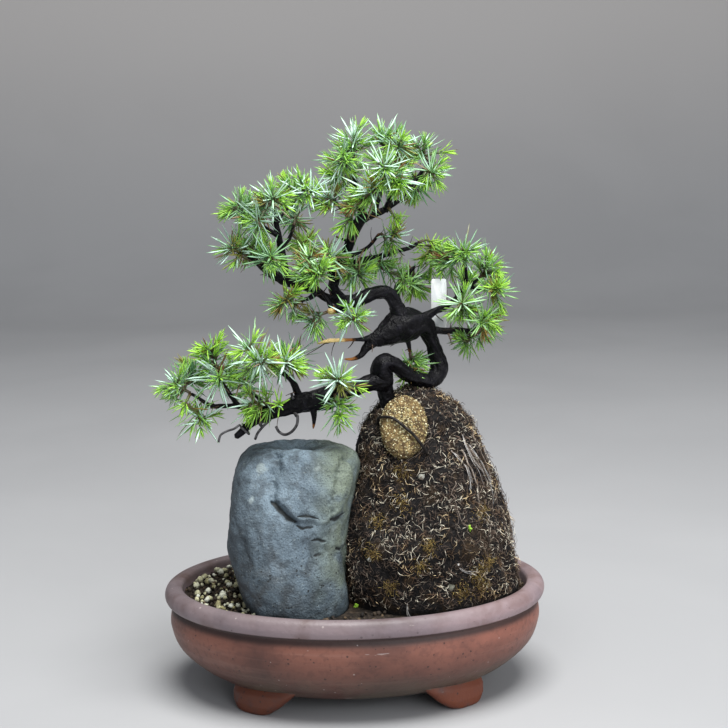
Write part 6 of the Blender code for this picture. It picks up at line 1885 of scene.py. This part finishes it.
@dataclass
class Foliage:
    """All the sprays: shoots on the same routes as the frame's, with finer and more needles."""

    wood: Wood
    shoot_radius: float = 0.0009
    tip_radius: float = 0.0005
    seat: float = 0.0006
    pitch: float = 0.0030
    shortest: float = 0.0098
    needle_length: float = 0.0145
    light: Point = (0.0, -0.62, 0.85)
    turn_to_light: Pair = (0.25, 0.80)
    bare_foot: float = 0.0018
    open_whorls: tuple[tuple[float, float, float], ...] = (
        (0.0003, 14.0, 0.34), (0.0009, 30.0, 0.58), (0.0016, 46.0, 0.82), (0.0024, 58.0, 0.96),
        (0.0033, 67.0, 1.00), (0.0043, 75.0, 1.02), (0.0054, 82.0, 1.00), (0.0067, 89.0, 0.96),
        (0.0082, 95.0, 0.92))
    tuft_whorls: tuple[tuple[float, float, float], ...] = (
        (0.0004, 10.0, 0.38), (0.0012, 22.0, 0.52), (0.0022, 34.0, 0.58), (0.0034, 46.0, 0.58),
        (0.0048, 58.0, 0.54))
    whorl_pitch: float = 0.0020
    frost: dict[Growth, Pair] = field(default_factory=lambda: {
        OPEN: (0.36, 0.80), PALE: (0.92, 1.0), TUFT: (0.18, 0.50)})
    tuft_counts: tuple[int, int] = (7, 11)
    tuft_lengths: Pair = (0.0040, 0.0095)
    withered: float = 0.13
    sizes: dict[Growth, Pair] = field(default_factory=lambda: {
        OPEN: (0.84, 1.12), PALE: (1.00, 1.20), TUFT: (0.84, 1.12)})
    limits: Point = (0.1065, 0.0760, 0.3165)
    seed: int = 29

    def first_shoot(self, target: Array, spans: Array) -> Array:
        """Route of a shoot from the nearest wood to its rosette, starting just off the bark.

        Args:
            target: Middle of the rosette.
            spans: Stretches of wood.

        Returns:
            Points along the shoot.
        """
        starts, steps = spans[:, :3], spans[:, 3:6] - spans[:, :3]
        share = dots(target - starts, steps) / dots(steps, steps)
        share = np.clip(share, 0.0, 1.0)
        nearest = starts + steps * share[:, None]
        pick = int(np.argmin(np.linalg.norm(target - nearest, axis=1)))
        tangent = unit(steps[pick])
        radius = spans[pick, 6] + (spans[pick, 7] - spans[pick, 6]) * share[pick]
        root = nearest[pick]
        away = target - root
        away = away * max(1.0, self.shortest / (np.linalg.norm(away) - radius))
        target = root + away
        if share[pick] > 0.999 and np.dot(away, tangent) > 0.75 * np.linalg.norm(away):
            lead, start = tangent, root
        else:
            lead = unit(away - tangent * np.dot(away, tangent))
            start = root + lead * radius * 0.7
        bend = start + lead * 0.0030 + (target - start) * 0.12
        return smooth_route(np.array((start, bend, target)), self.pitch)

    def shoots(self, rosettes: tuple, spans: Array) -> list[Array]:
        """Routes of one spray: the first grows off the wood, the others off the ones before them."""
        routes: list[Array] = []
        for index, (_, *place) in enumerate(rosettes):
            target = np.array(place) / MILLIMETRES_IN_METRE
            if index == 0:
                routes.append(self.first_shoot(target, spans))
                continue
            forks = np.vstack([points[len(points) // 3:-1] for points in routes])
            root = forks[int(np.argmin(np.linalg.norm(target - forks, axis=1)))]
            target = root + (target - root) * max(1.0, self.shortest / np.linalg.norm(target - root))
            middle = (root + target) / 2 + (0.0, 0.0, 0.0008)
            routes.append(smooth_route(np.array((root, middle, target)), self.pitch))
        return routes

    def whorled(self, route: Array, kind: Growth, scale: float, age: float,
                draw: Draw) -> NeedleSet:
        """Needles of one shoot in whorls of three, each whorl turned by half a gap.

        A needle leaves at its whorl's angle from the shoot's own direction, with some scatter. Towards the
        tip of an open rosette that direction turns to the light, in front and above. None ends past the
        limits.

        Args:
            route: Points along the shoot.
            kind: Open rosette or tuft.
            scale: Size of the needles against full ones.
            age: How new the growth is, from 0 to 1.
            draw: Source of chance.

        Returns:
            The needles.
        """
        lengths = lengths_of(route)
        whorls = list(self.tuft_whorls if kind is TUFT else self.open_whorls)
        back = whorls[-1][0] + self.whorl_pitch
        while kind is not TUFT and back < lengths[-1] - self.bare_foot:
            whorls.append((back, 96.0, 0.86))
            back += self.whorl_pitch
        covered = lengths[-1] - self.bare_foot * scale
        rows = np.repeat(np.array([whorl for whorl in whorls if whorl[0] * scale < covered]), 3, axis=0)
        count = len(rows)
        reach = lengths[-1] - rows[:, 0] * scale + draw.normal(0.0, 0.0003, count)
        fine = np.linspace(0.0, lengths[-1], 60)
        line = between(fine, lengths, route)
        along, across, _ = carried_frames(line)
        slot = np.clip(np.searchsorted(fine, reach), 0, 59)
        point, axis = line[slot], along[slot]
        near_tip = 1.0 - smoothstep(rows[:, :1] * scale, 0.002, 0.011)
        lean = draw.uniform(*self.turn_to_light) * near_tip * (kind is not TUFT)
        sought = unit(np.array(self.light) + (7.0 * (line[-1, 0] - 0.010), 12.0 * line[-1, 1], 0.0))
        axis = unit(axis * (1.0 - lean) + sought * lean)
        first = unit(across[slot] - axis * dots(across[slot], axis)[:, None])
        other = np.cross(axis, first)
        turn = np.tile(np.arange(3) * math.tau / 3, count // 3)
        turn = turn + np.repeat(np.arange(count // 3) * math.pi / 3, 3) + draw.normal(0.0, 0.22, count)
        out = first * np.cos(turn)[:, None] + other * np.sin(turn)[:, None]
        angle = np.radians(rows[:, 1] + draw.normal(0.0, 11.0, count))
        heading = np.cos(angle)[:, None] * axis + np.sin(angle)[:, None] * out
        length = rows[:, 2] * self.needle_length * scale * draw.uniform(0.80, 1.10, count)
        room = (np.array(self.limits) - np.abs(point)) / np.maximum(np.sign(point) * heading, 1e-6)
        length = np.minimum(length, room.min(axis=1))
        old = smoothstep(rows[:, 0], 0.006, 0.016)
        dry = (draw.uniform(0.0, 1.0, count) < 0.05 + 0.35 * old) * draw.uniform(0.35, 1.0, count)
        ages = np.clip(age + 0.35 * (rows[:, 1] < 30.0) + draw.normal(0.0, 0.10, count), 0.0, 1.0)
        ages *= 0.45 if kind is PALE else 1.0
        frost = draw.uniform(*self.frost[kind]) * (1.0 - 0.50 * ages)
        return NeedleSet(point + out * self.tip_radius * 0.6, heading, axis, length, ages, dry, frost)

    def side_tufts(self, route: Array, age: float, draw: Draw) -> list[tuple[Array, NeedleSet]]:
        """Small new shoots that leave the side of a longer one."""
        lengths = lengths_of(route)
        made = []
        for share in draw.uniform(0.16, 0.94, draw.integers(*self.tuft_counts)):
            reach = share * lengths[-1]
            point, ahead = (between(place, lengths, route) for place in (reach, reach + 0.0005))
            axis = unit(ahead - point + 1e-9)
            out = unit(np.cross(axis, draw.normal(size=3)))
            heading = unit(axis * draw.uniform(0.3, 0.8) + out)
            line = point + heading * np.linspace(0.0, draw.uniform(*self.tuft_lengths), 3)[:, None]
            fresh = age * (0.20 + 0.80 * share)
            small = self.whorled(line, TUFT, draw.uniform(0.72, 1.05), fresh, draw)
            if draw.uniform() < self.withered:
                small.dry = np.maximum(small.dry, draw.uniform(0.6, 1.0))
            made.append((line, small))
        return made

    def spray(self, rosettes: tuple, spans: Array, draw: Draw) -> Surface:
        """All the shoots and needles of one spray in one surface."""
        shoots, needles = [], []
        for (kind, *_), route in zip(rosettes, self.shoots(rosettes, spans)):
            age = draw.uniform(0.80, 1.0) if kind is TUFT else draw.choice((0.0, 0.15, 0.40))
            fine = smooth_route(route, 0.0014)
            shoots.append(fine)
            needles.append(self.whorled(fine, kind, draw.uniform(*self.sizes[kind]), float(age), draw))
            if kind is not TUFT:
                for line, small in self.side_tufts(fine, draw.uniform(0.45, 1.0), draw):
                    shoots.append(line)
                    needles.append(small)
        parts = [NeedleSet.of(needles).surface(draw)]
        for line in shoots:
            thick = np.linspace(self.shoot_radius, self.tip_radius, len(line))
            thick *= min(1.0, 0.35 + lengths_of(line)[-1] / 0.012)
            woody = np.linspace(1.0, 0.45, len(line))
            parts.append(strands(line[None], thick, 6, band=0.0, age=0.0, dry=0.0, woody=woody))
        return joined(parts)

    def build(self) -> None:
        """Grow and dress every spray."""
        draw = np.random.default_rng(self.seed)
        spans = self.wood.spans()
        settled = NeedleFinish("needle_finish").material()
        fresh = NeedleFinish("new_needle_finish", (0.150, 0.350, 0.040), (0.180, 0.380, 0.070)).material()
        for name, rosettes in SPRAYS.items():
            finish, slot = (fresh, "new_needles") if rosettes[0][0] is TUFT else (settled, "needles")
            add_piece(name + "_needles", self.spray(rosettes, spans, draw), finish, slot, name)


# Studio


@dataclass(frozen=True)
class Studio:
    """Plain pale floor, soft lights and the camera of the front view."""

    turn: float = math.radians(-2.0)
    distance: float = 0.75
    height: float = 0.300
    aim: Point = (0.0068, 0.0, 0.1795)
    roll: float = math.radians(-0.875)
    lens: float = 69.38

    def camera(self) -> None:
        """Camera: looks from its place to its aim, and is then rolled a little."""
        across, deep = math.sin(self.turn) * self.distance, -math.cos(self.turn) * self.distance
        place = np.array((across, deep, self.height))
        ahead = unit(np.array(self.aim) - place)
        right = unit(np.cross(ahead, (0.0, 0.0, 1.0)))
        up = np.cross(right, ahead)
        cosine, sine = math.cos(self.roll), math.sin(self.roll)
        right, up = right * cosine + up * sine, up * cosine - right * sine
        data = bpy.data.cameras.new("front_view")
        data.lens, data.sensor_width, data.clip_start = self.lens, 36.0, 0.01
        item = linked("front_view", data)
        stand(item, right, up, -ahead, place)
        bpy.context.scene.camera = item

    def floor(self) -> None:
        """Floor that rises behind in one smooth sweep: flat, then a quarter circle, then a wall."""
        bend = np.linspace(0.0, math.pi / 2, 24)
        back = np.concatenate(((-3.0, 1.2), 1.6 + 0.9 * np.sin(bend), (2.5,)))
        rise = np.concatenate(((0.0, 0.0), 0.9 * (1.0 - np.cos(bend)), (3.6,)))
        across = np.array((-4.0, 4.0))
        grid = np.stack((
            np.broadcast_to(across, (len(back), 2)), np.repeat(back[:, None], 2, axis=1),
            np.repeat(rise[:, None], 2, axis=1)), axis=-1)
        row = np.arange(len(back) - 1)[:, None] * 2
        faces = np.concatenate((row, row + 1, row + 3, row + 2), axis=1)
        mesh = Surface(grid.reshape(-1, 3), [faces]).mesh("floor")
        finish = Finish("floor_finish")
        table = finish.mottled(3.0, (0.350, 0.352, 0.362), (0.372, 0.374, 0.384))
        colour = finish.mix(finish.span(finish.axis("Z"), 0.02, 0.75), table, (0.600, 0.575, 0.560))
        mesh.materials.append(finish.made(Base_Color=colour, Roughness=0.85))
        item = linked("floor", mesh)

    def light(self, name: str, place: Point, size: float, power: float, colour: Colour) -> None:
        """One large soft lamp that faces the middle of the tree."""
        data = bpy.data.lights.new(name, "AREA")
        data.shape, data.size, data.energy, data.color = "DISK", size, power, colour
        back = unit(np.array(place) - np.array((0.0, 0.0, 0.15)))
        right = unit(np.cross((0.0, 1.0, 0.001), back))
        stand(linked(name, data), right, np.cross(back, right), back, place)

    def build(self) -> None:
        """Set up the floor, the lamps, the sky and the camera."""
        self.floor()
        self.light("lamp_above", (0.10, -0.40, 1.5), 0.9, 38.0, (1.0, 1.0, 0.98))
        self.light("lamp_front", (0.6, -1.6, 0.8), 0.9, 10.0, (0.94, 0.97, 1.0))
        self.light("lamp_side", (1.3, -0.8, 0.8), 0.8, 6.0, grey(1.0))
        world = bpy.data.worlds.new("studio_sky")
        world.use_nodes = True
        sky = world.node_tree.nodes["Background"]
        sky.inputs["Color"].default_value = (0.80, 0.84, 0.90, 1.0)
        sky.inputs["Strength"].default_value = 0.36
        bpy.context.scene.world = world
        bpy.context.scene.view_settings.view_transform = "Standard"
        self.camera()


def main() -> None:
    """Build every sub-assembly in order."""
    logging.basicConfig(level=logging.INFO, format="%(name)s %(message)s")
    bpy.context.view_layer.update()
    EFFECTS.build()
    pot = Pot()
    wood = Wood()
    parts = (pot, PotFilling(pot), RiverStone(), RootMound(), wood, FertilizerCake(), Label(),
             TrainingWires(wood), Foliage(wood), Studio())
    for part in parts:
        part.build()
        LOG.info("%s is done", type(part).__name__)


if __name__ == "__main__":
    main()
